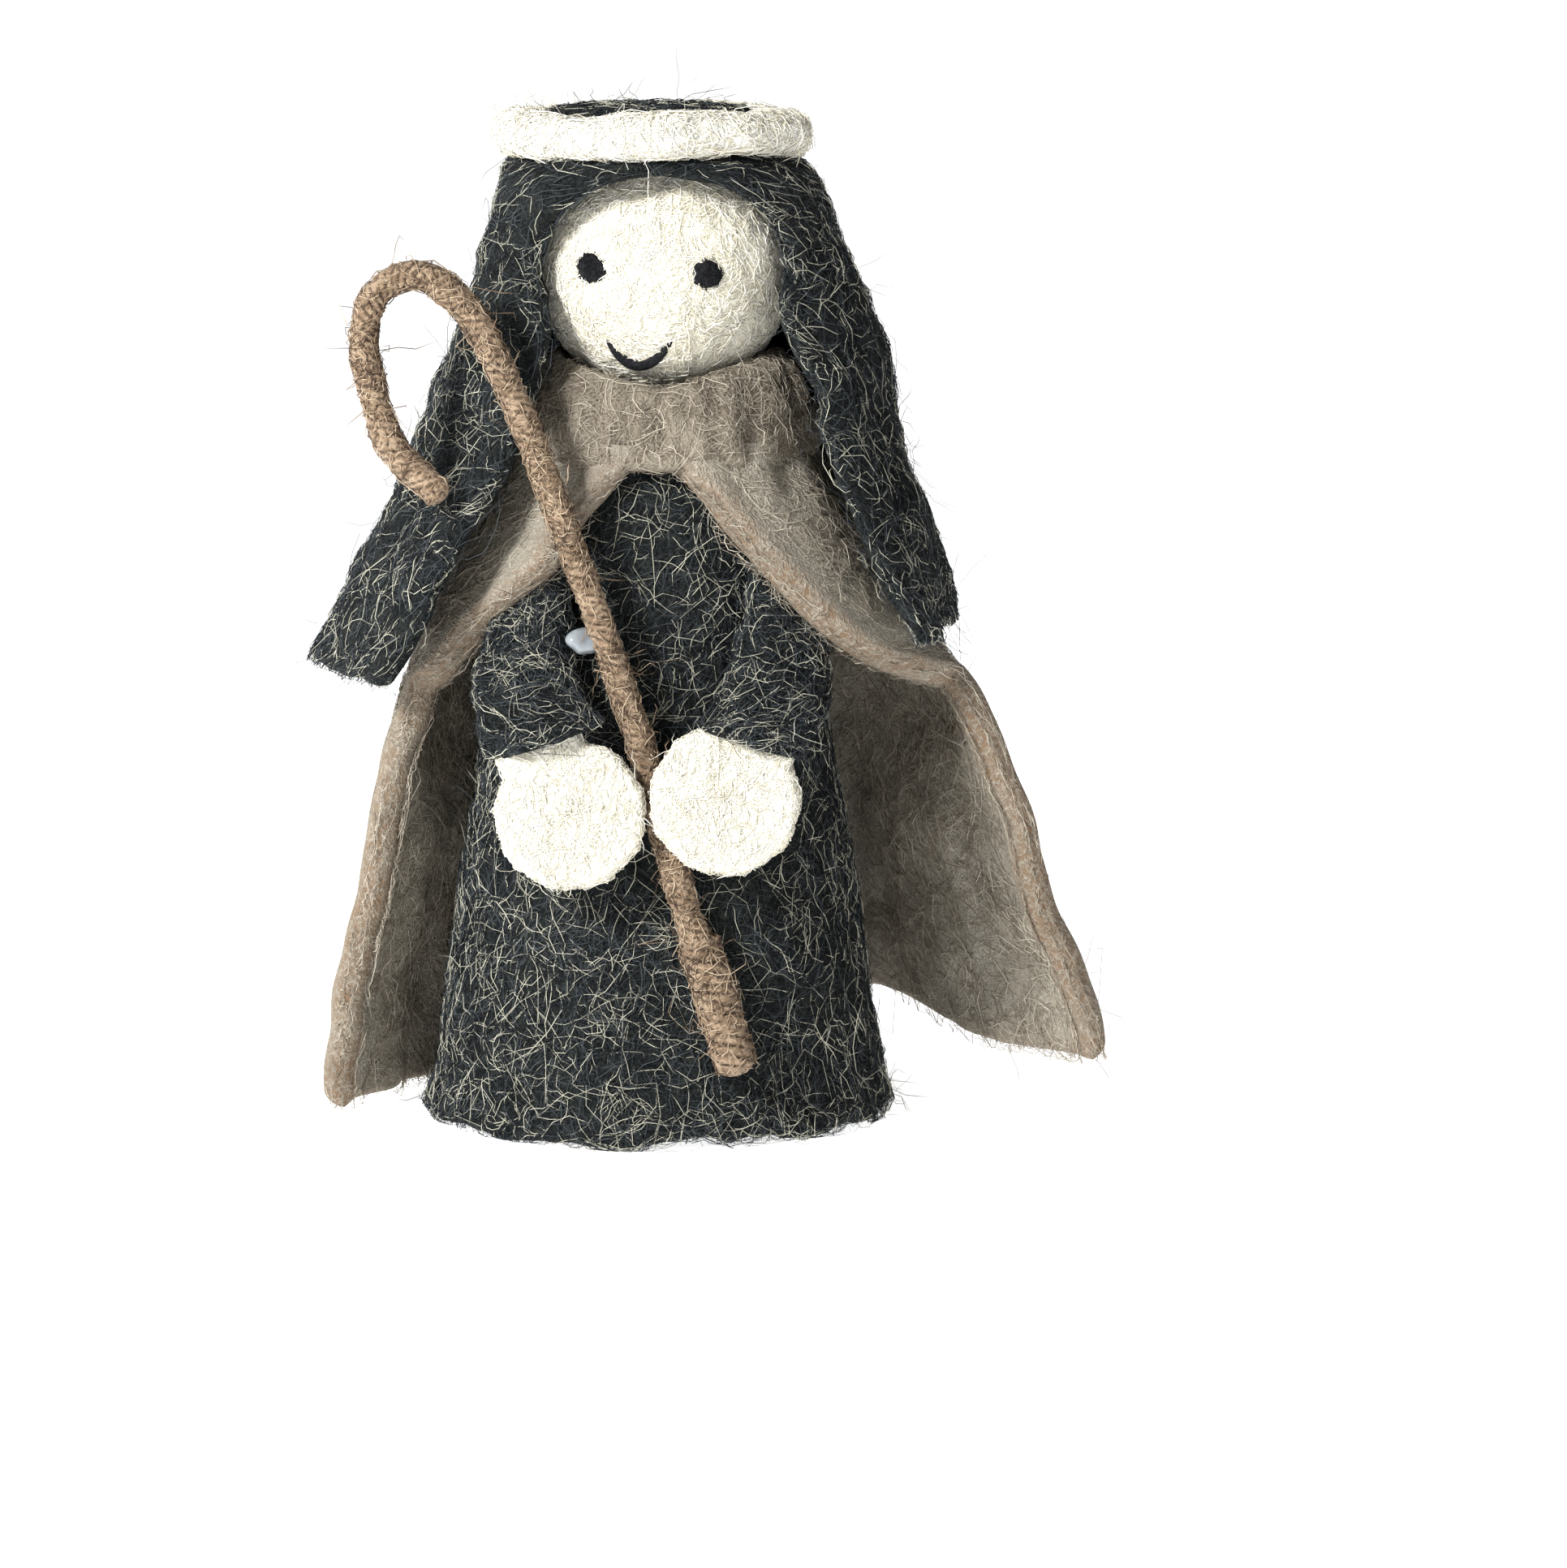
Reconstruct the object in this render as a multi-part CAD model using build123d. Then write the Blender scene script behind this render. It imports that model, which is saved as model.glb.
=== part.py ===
"""A wool felt finger puppet of a shepherd, about 105 mm tall, in millimetres.

A robe cone of thick felt takes one or two fingers from below and closes in a dome under the head.
A felt ball is the head, with needle-felted eyes and mouth. A head scarf hangs over it like a hood
and is held by a rolled felt ring. A cape with a collar hangs from the neck, two bell sleeves hold
flat felt hands, and a crook of wool wound on wire is glued to the front of the robe.

Frame: +Z up, the face looks along -Y, +X is to the right of somebody who looks at the face.
The origin is the centre of the robe's hem. Left and right are as that onlooker sees them.
"""

from build123d import *
import math
import os

os.makedirs("parts", exist_ok=True)

# Robe
HEM_RADIUS = 24.2
NECK_RADIUS = 13.6
NECK_Z = 65.0
DOME_TOP = 74.7
ROBE_WALL = 3.0
SEAM_WIDTH = 3.2
SEAM_THICK = 0.9

# Head
HEAD_RADIUS = 13.1
HEAD = Vector(0.9, -0.5, 88.4)
EYE_RADIUS = 1.5
EYE_THICK = 0.9
EYES = {"eye_left": (-6.35, 88.8), "eye_right": (5.45, 88.4)}
MOUTH_ENDS = ((-4.8, 81.5), (1.9, 81.9))
MOUTH_LOW = (-1.45, 79.0)
MOUTH_RADIUS = 0.5

# Rolled ring round the scarf
RING_RADIUS = 14.2
RING_ROLL = 2.35
RING_CENTRE = Vector(-0.4, 0.0, 102.3)

# Soft sheets
SCARF_FELT = 2.4
CAPE_FELT = 2.4
FOLD_GAP = 0.9  # slot along a soft fold, where one sheet is two bodies

# (height, centre x, half width, half depth) of the outside of each sheet, from the top down
SCARF_SECTIONS = (
    (103.8, -0.4, 12.2, 12.2),
    (100.9, -0.3, 15.6, 15.4),
    (92.0, 0.8, 17.9, 16.6),
    (81.0, 1.2, 22.1, 18.0),
    (73.0, 0.4, 24.6, 18.6),
    (62.5, 0.3, 28.7, 24.2),
    (55.0, -0.4, 31.0, 27.8),
    (43.0, -2.6, 35.2, 31.8),
)
SCARF_HOLLOW_TOP = ((99.6, 0.0, 8.5, 8.3), (95.8, 0.3, 14.0, 13.3))
CAPE_SECTIONS = (
    (71.0, 0.7, 15.2, 15.0),
    (66.0, 0.7, 17.4, 16.6),
    (60.0, 1.0, 21.1, 20.2),
    (52.0, 1.6, 25.4, 24.0),
    (45.0, 3.0, 29.5, 24.4),
    (35.0, 3.6, 33.1, 25.2),
    (15.0, 4.8, 38.3, 27.0),
    (-3.0, 6.5, 42.0, 29.0),
)
COLLAR_SECTIONS = (
    (77.4, 0.8, 13.8, 13.2),
    (74.6, 0.8, 14.5, 14.1),
    (71.4, 0.7, 15.3, 15.1),
)

# Sleeves: height, x midway between the two arms, half of the span between them, y, half width,
# half depth, and how far the oval is turned to follow the robe, in degrees
SLEEVE_SECTIONS = (
    (58.4, 0.4, 11.4, -12.1, 2.6, 1.2, 42),
    (54.0, 0.4, 12.2, -13.3, 3.3, 2.1, 38),
    (48.3, -0.2, 13.4, -17.5, 5.2, 3.6, 18),
    (42.6, -0.5, 10.6, -22.6, 5.2, 3.9, 0),
)
CUFF_SLANT = 19.0
HAND_RADIUS = 7.45
HAND_FELT = 2.6
HAND_TILT = 10.0
HANDS = {"left": (-8.3, -24.9, 34.8), "right": (7.3, -24.9, 36.3)}

# Crook: wool wound on a wire, in a plane that leans against the robe
CROOK_RADIUS = 1.6
WIRE_RADIUS = 0.55
FOOT_RADIUS = 2.3
CROOK_ROUTE = (
    (8.4, 8.8), (5.7, 17.9), (2.5, 27.2), (-0.8, 39.8), (-4.8, 52.0), (-8.7, 62.5), (-12.5, 72.7),
    (-16.2, 80.9), (-19.3, 85.8), (-23.3, 88.6), (-27.4, 87.2), (-29.1, 82.9), (-28.2, 76.9),
    (-26.3, 71.3), (-21.7, 66.8),
)
CROOK_Y_AT_FOOT = -24.0
CROOK_LEAN = 0.088  # towards the robe per mm of height
FOOT_TOP = 21.0
GLUE_CENTRE = (-6.2, -16.4, 51.8)
GLUE_RADIUS = 1.9
GLUE_LENGTH = 5.8

# Soft folds: front end, side end, and the point on the axis that sets the cut's direction
SCARF_FOLDS = {
    "left": ((-14.5, -18.6, 65.5), (-30.0, 6.0, 47.0), (0, 0, 59)),
    "right": ((17.0, -18.0, 65.5), (29.5, 6.0, 51.0), (0, 0, 61)),
}
CAPE_FOLDS = {
    "left": ((-29.0, -9.0, 36.0), (-23.0, 20.0, 4.0), (0, 0, 28)),
    "right": ((36.0, -6.0, 36.0), (31.0, 20.0, 6.0), (0, 0, 28)),
}
SCARF_FLAP_TOP = 71.0
CAPE_FLAP_TOP = 43.0
FLAP_INNER = 9.0  # no flap reaches nearer to the middle than this


def lofted(sections, inset=0.0):
    """Solid through ellipses stacked along Z, each made smaller by inset."""
    rings = [
        (Pos(x, 0, z) * Ellipse(half_width - inset, half_depth - inset)).face().outer_wire()
        for z, x, half_width, half_depth in sections
    ]
    return Solid.make_loft(rings, ruled=True)


def shell(sections, felt):
    """Open sheet of even felt round the stacked ellipses."""
    top, bottom = sections[0], sections[-1]
    longer = ((top[0] + 0.01, *top[1:]), *sections[1:-1], (bottom[0] - 0.01, *bottom[1:]))
    return lofted(sections) - lofted(longer, felt)


def front_prism(outline, y_near, y_far):
    """Prism along Y over an outline given as (x, z) points of straight runs."""
    face = make_face(Polyline(*[(x, y_near, z) for x, z in outline], close=True)).face()
    return Solid.extrude(face, Vector(0, y_far - y_near, 0))


def fold_plane(front, side, axis_point):
    """Plane through both ends of a fold and a point on the puppet's axis."""
    front, side, axis_point = Vector(*front), Vector(*side), Vector(*axis_point)
    along = (side - front).normalized()
    normal = along.cross(axis_point - front).normalized()
    return Plane(origin=front, x_dir=along, z_dir=normal)


def cut_fold(sheet, plane, side, top):
    """The rest of a sheet and its corner flap on one side, with the fold's slot between them."""
    corner = Vector(side * 40, -40, 20)
    outward = plane.z_dir.dot(corner - plane.origin) > 0
    shift = FOLD_GAP / 2 if outward else -FOLD_GAP / 2
    region = Pos(side * (FLAP_INNER + 50), 0, top - 50) * Box(100, 200, 100)
    flap = split(sheet & region, bisect_by=plane.offset(shift), keep=Keep.TOP if outward else Keep.BOTTOM)
    rest = split(sheet & region, bisect_by=plane.offset(-shift), keep=Keep.BOTTOM if outward else Keep.TOP)
    return rest + (sheet - region), flap


def save(shape, name):
    """One STEP file for one node."""
    solids = sorted(shape.solids(), key=lambda solid: -solid.volume)
    part = solids[0] if len(solids) == 1 else Compound(children=solids)
    part.label = name
    export_step(part, f"parts/{name}.step")
    return part


# --- robe -----------------------------------------------------------------------------------
def robe_profile(wall):
    """Half section of the robe cone and its dome, wall mm inside the outer face."""
    foot = (HEM_RADIUS - wall, 0)
    neck = (NECK_RADIUS - wall, NECK_Z)
    crown = (0, DOME_TOP - wall)
    side = Line(foot, neck)
    slope = ((NECK_RADIUS - HEM_RADIUS) / NECK_Z, 1)
    dome = Spline(neck, crown, tangents=(slope, (-1, 0)))
    return make_face([side, dome, Line(crown, (0, 0)), Line((0, 0), foot)])


def robe():
    outer = revolve(Plane.XZ * robe_profile(0), Axis.Z)
    inner = revolve(Plane.XZ * robe_profile(ROBE_WALL), Axis.Z)
    return outer - inner


def robe_seam():
    """Raised strip down the back, where the robe's edges lap and are glued."""
    lap = revolve(Plane.XZ * robe_profile(-SEAM_THICK), Axis.Z)
    lap -= revolve(Plane.XZ * robe_profile(0), Axis.Z)
    return lap & Pos(0, 30, 30) * Box(SEAM_WIDTH, 40, 56)


# --- head -----------------------------------------------------------------------------------
def head_ball():
    return Pos(*HEAD) * Sphere(HEAD_RADIUS)


def on_face(x, z, lift=0.0):
    """Point of the ball's front at this x and z, lift mm out."""
    dx, dz = x - HEAD.X, z - HEAD.Z
    y = HEAD.Y - math.sqrt(HEAD_RADIUS**2 - dx**2 - dz**2)
    point = Vector(x, y, z)
    return point + (point - HEAD).normalized() * lift


def eye(x, z):
    """Round tuft needled onto the ball, as a low button that follows it."""
    out = (on_face(x, z) - HEAD).normalized()
    button = Plane(origin=on_face(x, z, -1.5), z_dir=out) * Cylinder(EYE_RADIUS, 5)
    skin = Pos(*HEAD) * (Sphere(HEAD_RADIUS + EYE_THICK) - Sphere(HEAD_RADIUS))
    return button & skin


def mouth():
    """Smile: a thin roll through three points of the face."""
    lift = 0.35
    left = on_face(*MOUTH_ENDS[0], lift)
    low = on_face(*MOUTH_LOW, lift)
    right = on_face(*MOUTH_ENDS[1], lift)
    path = ThreePointArc(left, low, right)
    section = Plane(origin=path @ 0, z_dir=path % 0) * Circle(MOUTH_RADIUS)
    roll = sweep(section, path)
    for end in (left, right):
        roll += Pos(*end) * Sphere(MOUTH_RADIUS)
    return roll - head_ball()


def ring():
    return Pos(*RING_CENTRE) * Torus(RING_RADIUS, RING_ROLL)


# --- scarf ----------------------------------------------------------------------------------
def scarf():
    """Hood with a flat top and an arched face opening that spreads below the chin."""
    inside = [(z, x, wide - SCARF_FELT, deep - SCARF_FELT) for z, x, wide, deep in SCARF_SECTIONS[2:]]
    inside[-1] = (inside[-1][0] - 0.01, *inside[-1][1:])
    sheet = lofted(SCARF_SECTIONS) - lofted((*SCARF_HOLLOW_TOP, *inside))
    sheet -= Pos(*HEAD) * Sphere(HEAD_RADIUS + 0.15)
    sheet -= ring()
    arch = Pos(HEAD.X, 0, HEAD.Z - 2) * Rot(90, 0, 0) * extrude(Ellipse(13.1, 12.1), 50)
    spread = front_prism(
        ((-12.1, HEAD.Z - 2), (-12.4, 80.3), (-13.5, 70.5), (-18.6, 60.5), (-29.5, 42.5), (24.2, 42.5),
         (23.3, 52.5), (17.9, 63.4), (14.6, 73.4), (13.5, 83.3), (13.9, HEAD.Z - 2)),
        -60,
        0,
    )
    hem = front_prism(
        ((-60, 35), (60, 35), (60, 51.5), (22, 50.4), (0, 48.0), (-24, 48.0), (-36, 46.4), (-60, 46.4)),
        -60,
        60,
    )
    return sheet - arch - spread - hem


# --- cape -----------------------------------------------------------------------------------
def cape():
    """Cloak open at the front, whose edges run out over the shoulders to the sides."""
    sheet = shell(CAPE_SECTIONS, CAPE_FELT)
    opening = front_prism(
        ((-0.8, 72.0), (-0.6, 70.2), (-7.2, 63.9), (-10.0, 58.8), (-17.1, 53.2), (-22.4, 46.3), (-40.0, 40.0),
         (-60.0, -8.0), (70.0, -8.0), (60.0, 40.0), (31.7, 45.4), (21.2, 49.5), (16.1, 53.5), (10.4, 59.4),
         (5.3, 65.2), (1.1, 69.6), (1.1, 72.0)),
        -60,
        -8,
    )
    opening += Pos(25 + 40, -34, 16) * Box(80, 60, 52)
    hem = front_prism(
        ((-60, 0.8), (-28, 0.8), (-5, 6.0), (24, 8.2), (36, 6.0), (47, 4.6), (60, 4.6), (60, -20), (-60, -20)),
        -60,
        60,
    )
    return sheet - opening - hem


def collar():
    return shell(COLLAR_SECTIONS, CAPE_FELT + 0.4)


# --- arms -----------------------------------------------------------------------------------
def sleeve(side, hand_shape):
    """Bell of rolled felt with a slanting cuff, slotted for the hand."""
    rings = []
    for z, middle, half_span, y, half_width, half_depth, turn in SLEEVE_SECTIONS:
        slant = side * CUFF_SLANT * (1.0 if turn == 0 else 0.3)
        place = Pos(middle + side * half_span, y, z) * Rot(0, slant, 0) * Rot(0, 0, side * turn)
        rings.append((place * Ellipse(half_width, half_depth)).face().outer_wire())
    slotted = Solid.make_loft(rings[::-side], ruled=True) - hand_shape
    return max(slotted.solids(), key=lambda solid: solid.volume)


def hand(side, name):
    """Flat felt disc with a tab that is let into the cuff."""
    tab = Rot(0, 0, -side * CUFF_SLANT) * Pos(0, 7.4, 0) * Rectangle(10.4, 4.8)
    outline = Circle(HAND_RADIUS) + tab
    disc = extrude(outline, HAND_FELT / 2, both=True)
    return Pos(*HANDS[name]) * Rot(90 - HAND_TILT, 0, 0) * disc


# --- crook ----------------------------------------------------------------------------------
def crook_path():
    """Straight runs joined by tangent arcs as large as their runs allow."""
    lowest = CROOK_ROUTE[0][1]
    points = [Vector(x, CROOK_Y_AT_FOOT + CROOK_LEAN * (z - lowest), z) for x, z in CROOK_ROUTE]
    radii = []
    for before, corner, after in zip(points, points[1:], points[2:]):
        turn = math.radians((corner - before).get_angle(after - corner))
        shorter = min((corner - before).length, (after - corner).length)
        radii.append(0.45 * shorter / math.tan(turn / 2))
    print("crook radii", [round(radius, 1) for radius in radii])
    return FilletPolyline(*points, radius=radii)


def tube(path, radius, hole=0.0):
    section = Circle(radius) - Circle(hole) if hole else Circle(radius)
    solid = sweep(Plane(origin=path @ 0, z_dir=path % 0) * section, path)
    round_area = math.pi * (radius**2 - hole**2)
    print("tube volume over section times length", round(solid.volume / (round_area * path.length), 4))
    return solid


def foot_wrap(path):
    """Extra turns of wool that thicken the crook's lower end."""
    whole = tube(path, FOOT_RADIUS, CROOK_RADIUS)
    return whole & Pos(0, CROOK_Y_AT_FOOT, FOOT_TOP - 50) * Box(60, 60, 100)


def glue_spot(robe_shape, wrap):
    """Blob of hot glue that bridges the crook and the robe."""
    blob = Pos(*GLUE_CENTRE) * Rot(90, 0, 0) * Cylinder(GLUE_RADIUS, GLUE_LENGTH)
    return fillet(blob.edges(), 0.6) - robe_shape - wrap


# --- nodes ----------------------------------------------------------------------------------
parts = {}
parts["robe"] = robe()
parts["robe_back_seam"] = robe_seam()
parts["head_ball"] = head_ball()
for name, (x, z) in EYES.items():
    parts[name] = eye(x, z)
parts["mouth"] = mouth()
parts["head_ring"] = ring()
parts["cape_collar"] = collar()

hood = scarf()
cloak = cape()
for side, name in ((-1, "left"), (1, "right")):
    plane = fold_plane(*SCARF_FOLDS[name])
    hood, parts[f"scarf_{name}"] = cut_fold(hood, plane, side, SCARF_FLAP_TOP)
    plane = fold_plane(*CAPE_FOLDS[name])
    cloak, parts[f"cape_{name}"] = cut_fold(cloak, plane, side, CAPE_FLAP_TOP)
parts["scarf_hood"] = hood
parts["cape_back"] = cloak

for side, name in ((-1, "left"), (1, "right")):
    parts[f"hand_{name}"] = hand(side, name)
    parts[f"sleeve_{name}"] = sleeve(side, parts[f"hand_{name}"])

route = crook_path()
parts["crook_wire"] = tube(route, WIRE_RADIUS)
parts["crook_wrap"] = tube(route, CROOK_RADIUS, WIRE_RADIUS)
parts["crook_foot_wrap"] = foot_wrap(route)
parts["glue_spot"] = glue_spot(parts["robe"], parts["crook_wrap"])

for name, shape in parts.items():
    save(shape, name)
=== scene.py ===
"""A wool felt shepherd finger puppet: surfaces worked out in millimetres, in the CAD model's frame.

Every piece is a surface of two parameters u and v from 0 to 1, kept as a function that takes whole
arrays. Meshes are those functions on grids, and loose wool fibres are paths that wander over them.
"""

import math

import bmesh
import bpy
import numpy as np
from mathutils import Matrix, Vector


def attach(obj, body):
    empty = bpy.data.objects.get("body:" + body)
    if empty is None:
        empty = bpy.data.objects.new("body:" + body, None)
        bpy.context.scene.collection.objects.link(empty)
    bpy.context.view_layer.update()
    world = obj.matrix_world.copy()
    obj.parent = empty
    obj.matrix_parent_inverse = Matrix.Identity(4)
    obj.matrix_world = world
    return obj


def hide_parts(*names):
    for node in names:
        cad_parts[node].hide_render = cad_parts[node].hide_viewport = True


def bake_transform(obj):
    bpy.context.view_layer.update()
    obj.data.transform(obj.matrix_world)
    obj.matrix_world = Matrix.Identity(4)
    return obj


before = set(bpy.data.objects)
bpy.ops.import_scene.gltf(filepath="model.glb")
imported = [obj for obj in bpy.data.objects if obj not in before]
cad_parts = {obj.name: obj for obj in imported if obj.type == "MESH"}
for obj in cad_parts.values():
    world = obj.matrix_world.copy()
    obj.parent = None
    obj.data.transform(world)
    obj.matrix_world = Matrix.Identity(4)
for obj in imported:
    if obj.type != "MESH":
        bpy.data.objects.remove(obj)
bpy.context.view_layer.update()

MM = 0.001
SIDES = (("left", -1), ("right", 1))


# --- camera -----------------------------------------------------------------------------------
CAMERA_PLACE = (13.0, -590.0, 125.0)
CAMERA_AIM = (13.2, 0.0, 34.1)
CAMERA_LENS = 130.4

camera = bpy.data.objects.new("camera", bpy.data.cameras.new("camera"))
camera.data.lens = CAMERA_LENS
camera.data.sensor_width = 36.0
camera.data.clip_start = 0.01
camera.location = Vector(CAMERA_PLACE) * MM
camera.rotation_euler = (Vector(CAMERA_AIM) - Vector(CAMERA_PLACE)).to_track_quat("-Z", "Y").to_euler()
bpy.context.scene.collection.objects.link(camera)
bpy.context.scene.camera = camera


# --- arrays -----------------------------------------------------------------------------------
def smooth(value, low, high):
    """0 below low, 1 above high, and 3t^2 - 2t^3 between."""
    t = np.clip((value - low) / (high - low), 0, 1)
    return t * t * (3 - 2 * t)


def bump(value, centre, width):
    """Bell curve exp(-((value - centre) / width)^2)."""
    return np.exp(-(((value - centre) / width) ** 2))


def waves(points, size, seed, count=12):
    """Soft noise of about unit size: a sum of sines in random directions, size mm from crest to crest."""
    rng = np.random.default_rng(seed)
    ways = rng.normal(size=(count, 3))
    ways *= (2 * np.pi / size * rng.uniform(0.7, 1.5, count) / np.linalg.norm(ways, axis=1))[:, None]
    return np.sin(points @ ways.T + rng.uniform(0, 2 * np.pi, count)).sum(-1) * math.sqrt(2 / count)


def table(rows, z, column, soften=1.6):
    """A column of a table of rows (z, ...), read at z by straight runs and softened at their corners."""
    rows = np.array(sorted(rows), float)
    shifts = soften * np.array([-1.0, -0.5, 0.0, 0.5, 1.0])
    return sum(np.interp(z + shift, rows[:, 0], rows[:, column]) for shift in shifts) / len(shifts)


def unit(vectors):
    """Vectors over their lengths."""
    return vectors / np.maximum(np.linalg.norm(vectors, axis=-1, keepdims=True), 1e-9)


def tangents(surface, u, v, step=0.004):
    """Points of a surface, with its slopes along u and v by differences of two near points.
    Outside 0 to 1 the surface runs on straight, so that fibres can pass its edges."""
    cu, cv = np.clip(u, 0, 1), np.clip(v, 0, 1)
    ua, ub = np.clip(cu - step, 0, 1), np.clip(cu + step, 0, 1)
    va, vb = np.clip(cv - step, 0, 1), np.clip(cv + step, 0, 1)
    along_u = (surface(ub, cv) - surface(ua, cv)) / (ub - ua)[..., None]
    along_v = (surface(cu, vb) - surface(cu, va)) / (vb - va)[..., None]
    point = surface(cu, cv) + along_u * (u - cu)[..., None] + along_v * (v - cv)[..., None]
    return point, along_u, along_v


def normals(along_u, along_v):
    """Unit cross products of the two slopes."""
    return unit(np.cross(along_u, along_v))


# --- meshes -----------------------------------------------------------------------------------
SHARP_ANGLE = 55  # degrees between faces past which a sheet's edge is shaded sharp


def mesh_object(name, points, faces, materials, shades=None, values=None):
    """A mesh from points in mm and arrays of faces with one number of corners each."""
    faces = [block for block in faces if len(block)]
    mesh = bpy.data.meshes.new(name)
    mesh.vertices.add(len(points))
    mesh.vertices.foreach_set("co", (np.asarray(points, float) * MM).ravel())
    corners = np.concatenate([block.ravel() for block in faces])
    sizes = np.concatenate([np.full(len(block), block.shape[1]) for block in faces])
    mesh.loops.add(len(corners))
    mesh.loops.foreach_set("vertex_index", corners.astype(np.int32))
    mesh.polygons.add(len(sizes))
    mesh.polygons.foreach_set("loop_start", np.concatenate([[0], np.cumsum(sizes)[:-1]]).astype(np.int32))
    for material in materials:
        mesh.materials.append(material)
    if shades is not None:
        mesh.polygons.foreach_set("material_index", shades.astype(np.int32))
    mesh.polygons.foreach_set("use_smooth", np.ones(len(sizes), bool))
    for key, value in (values or {}).items():
        mesh.attributes.new(key, "FLOAT", "POINT").data.foreach_set("value", value.astype(np.float32).ravel())
    mesh.update(calc_edges=True)
    mesh.validate()
    thing = bpy.data.objects.new(name, mesh)
    bpy.context.scene.collection.objects.link(thing)
    return thing


def grid_faces(rows, columns, first=0, around=False, flip=False):
    """Quads of a grid of points numbered row by row; around joins the last column to the first."""
    index = first + np.arange(rows * columns).reshape(rows, columns)
    right = np.roll(index, -1, axis=1) if around else index[:, 1:]
    left = index if around else index[:, :-1]
    quads = np.stack([left[:-1], right[:-1], right[1:], left[1:]], axis=-1).reshape(-1, 4)
    return quads[:, ::-1] if flip else quads


def fan(centre, rim, flip=False):
    """Triangles from one point to a closed ring of points."""
    faces = np.stack([np.full(len(rim), centre), rim, np.roll(rim, -1)], axis=-1)
    return faces[:, ::-1] if flip else faces


def tube_mesh(name, rings, start, end, materials, values=None, flip=False):
    """A closed skin over rings of points, shape (rings, around, 3), with a pole at each end."""
    rows, columns = rings.shape[:2]
    points = np.concatenate([rings.reshape(-1, 3), [start, end]])
    last = rows * columns
    lowest, highest = np.arange(columns), last - columns + np.arange(columns)
    faces = [
        grid_faces(rows, columns, around=True, flip=flip),
        np.concatenate([fan(last, lowest, not flip), fan(last + 1, highest, flip)]),
    ]
    if values:
        values = {
            key: np.concatenate([value.ravel(), [value[0].mean(), value[-1].mean()]])
            for key, value in values.items()
        }
    return mesh_object(name, points, faces, materials, values=values)


def sheet_mesh(name, surface, half, u, v, material, flip=False, values=None):
    """A closed sheet: its middle surface pushed half mm out and in along the normal, walled round its rim."""
    columns, rows = np.meshgrid(u, v)
    middle, along_u, along_v = tangents(surface, columns, rows)
    normal = normals(along_u, along_v) * (-1 if flip else 1)
    thick = half(columns, rows)[..., None]
    outer, inner = middle + normal * thick, middle - normal * thick
    m, n = columns.shape
    index = np.arange(m * n).reshape(m, n)
    rim = np.concatenate([index[0, :-1], index[:-1, -1], index[-1, :0:-1], index[:0:-1, 0]])
    wall = np.stack([rim, rim + m * n, np.roll(rim, -1) + m * n, np.roll(rim, -1)], axis=-1)
    faces = [
        grid_faces(m, n, flip=flip),
        grid_faces(m, n, first=m * n, flip=not flip),
        wall[:, ::-1] if flip else wall,
    ]
    points = np.concatenate([outer.reshape(-1, 3), inner.reshape(-1, 3)])
    if values:
        values = {key: np.tile(value(columns, rows).ravel(), 2) for key, value in values.items()}
    thing = mesh_object(name, points, faces, [material], values=values)
    weld(thing)
    thing.data.set_sharp_from_angle(angle=math.radians(SHARP_ANGLE))
    return thing


def edge_distances(surface, u, v):
    """A sheet's middle points, and the mm from them to its front edge and to its hem: what is left of
    u and of v, times the slopes."""
    middle, along_u, along_v = tangents(surface, u, v)
    return middle, (1 - u) * np.linalg.norm(along_u, axis=-1), (1 - v) * np.linalg.norm(along_v, axis=-1)


def rounded(full, *distances):
    """Half the thickness of a sheet with half-round edges: full times sqrt(1 - (1 - d / full)^2) for
    each distance d to an edge, within full of it."""
    half = full
    for distance in distances:
        half = half * np.sqrt(np.clip(1 - (1 - np.clip(distance / full, 0, 1)) ** 2, 0, 1))
    return half


def weld(thing, distance=0.02):
    """Points closer than distance mm become one, and faces are turned outwards."""
    work = bmesh.new()
    work.from_mesh(thing.data)
    bmesh.ops.remove_doubles(work, verts=work.verts, dist=distance * MM)
    bmesh.ops.dissolve_degenerate(work, dist=distance * MM / 4, edges=work.edges)
    bmesh.ops.recalc_face_normals(work, faces=work.faces)
    work.to_mesh(thing.data)
    work.free()


# --- materials --------------------------------------------------------------------------------
def linear(colour):
    """An sRGB hex colour as linear red, green, blue and 1."""
    parts = [int(colour[i : i + 2], 16) / 255 for i in (1, 3, 5)]
    return (*[c / 12.92 if c <= 0.04045 else ((c + 0.055) / 1.055) ** 2.4 for c in parts], 1.0)


def new_material(name):
    """A material without nodes, and its node tree."""
    material = bpy.data.materials.new(name)
    material.use_nodes = True
    material.node_tree.nodes.clear()
    return material, material.node_tree


def link(tree, value, socket):
    """A node's first live output, or an output, is linked to the socket; any other value is set on it."""
    if isinstance(value, bpy.types.Node):
        value = next(output for output in value.outputs if output.enabled)
    if isinstance(value, bpy.types.NodeSocket):
        tree.links.new(value, socket)
    else:
        socket.default_value = value


def add_node(tree, kind, settings=None, **inputs):
    """A node with its settings and inputs. An input is named as its socket is, or i and its number."""
    node = tree.nodes.new("ShaderNode" + kind)
    for key, value in (settings or {}).items():
        setattr(node, key, value)
    for key, value in inputs.items():
        name = key.replace("_", " ")
        numbered = name[0] == "i" and name[1:].isdigit()
        link(tree, value, node.inputs[int(name[1:]) if numbered else name])
    return node


COLOURS = {"data_type": "RGBA"}  # for a Mix node: colour i6 is turned towards colour i7 by i0


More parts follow.
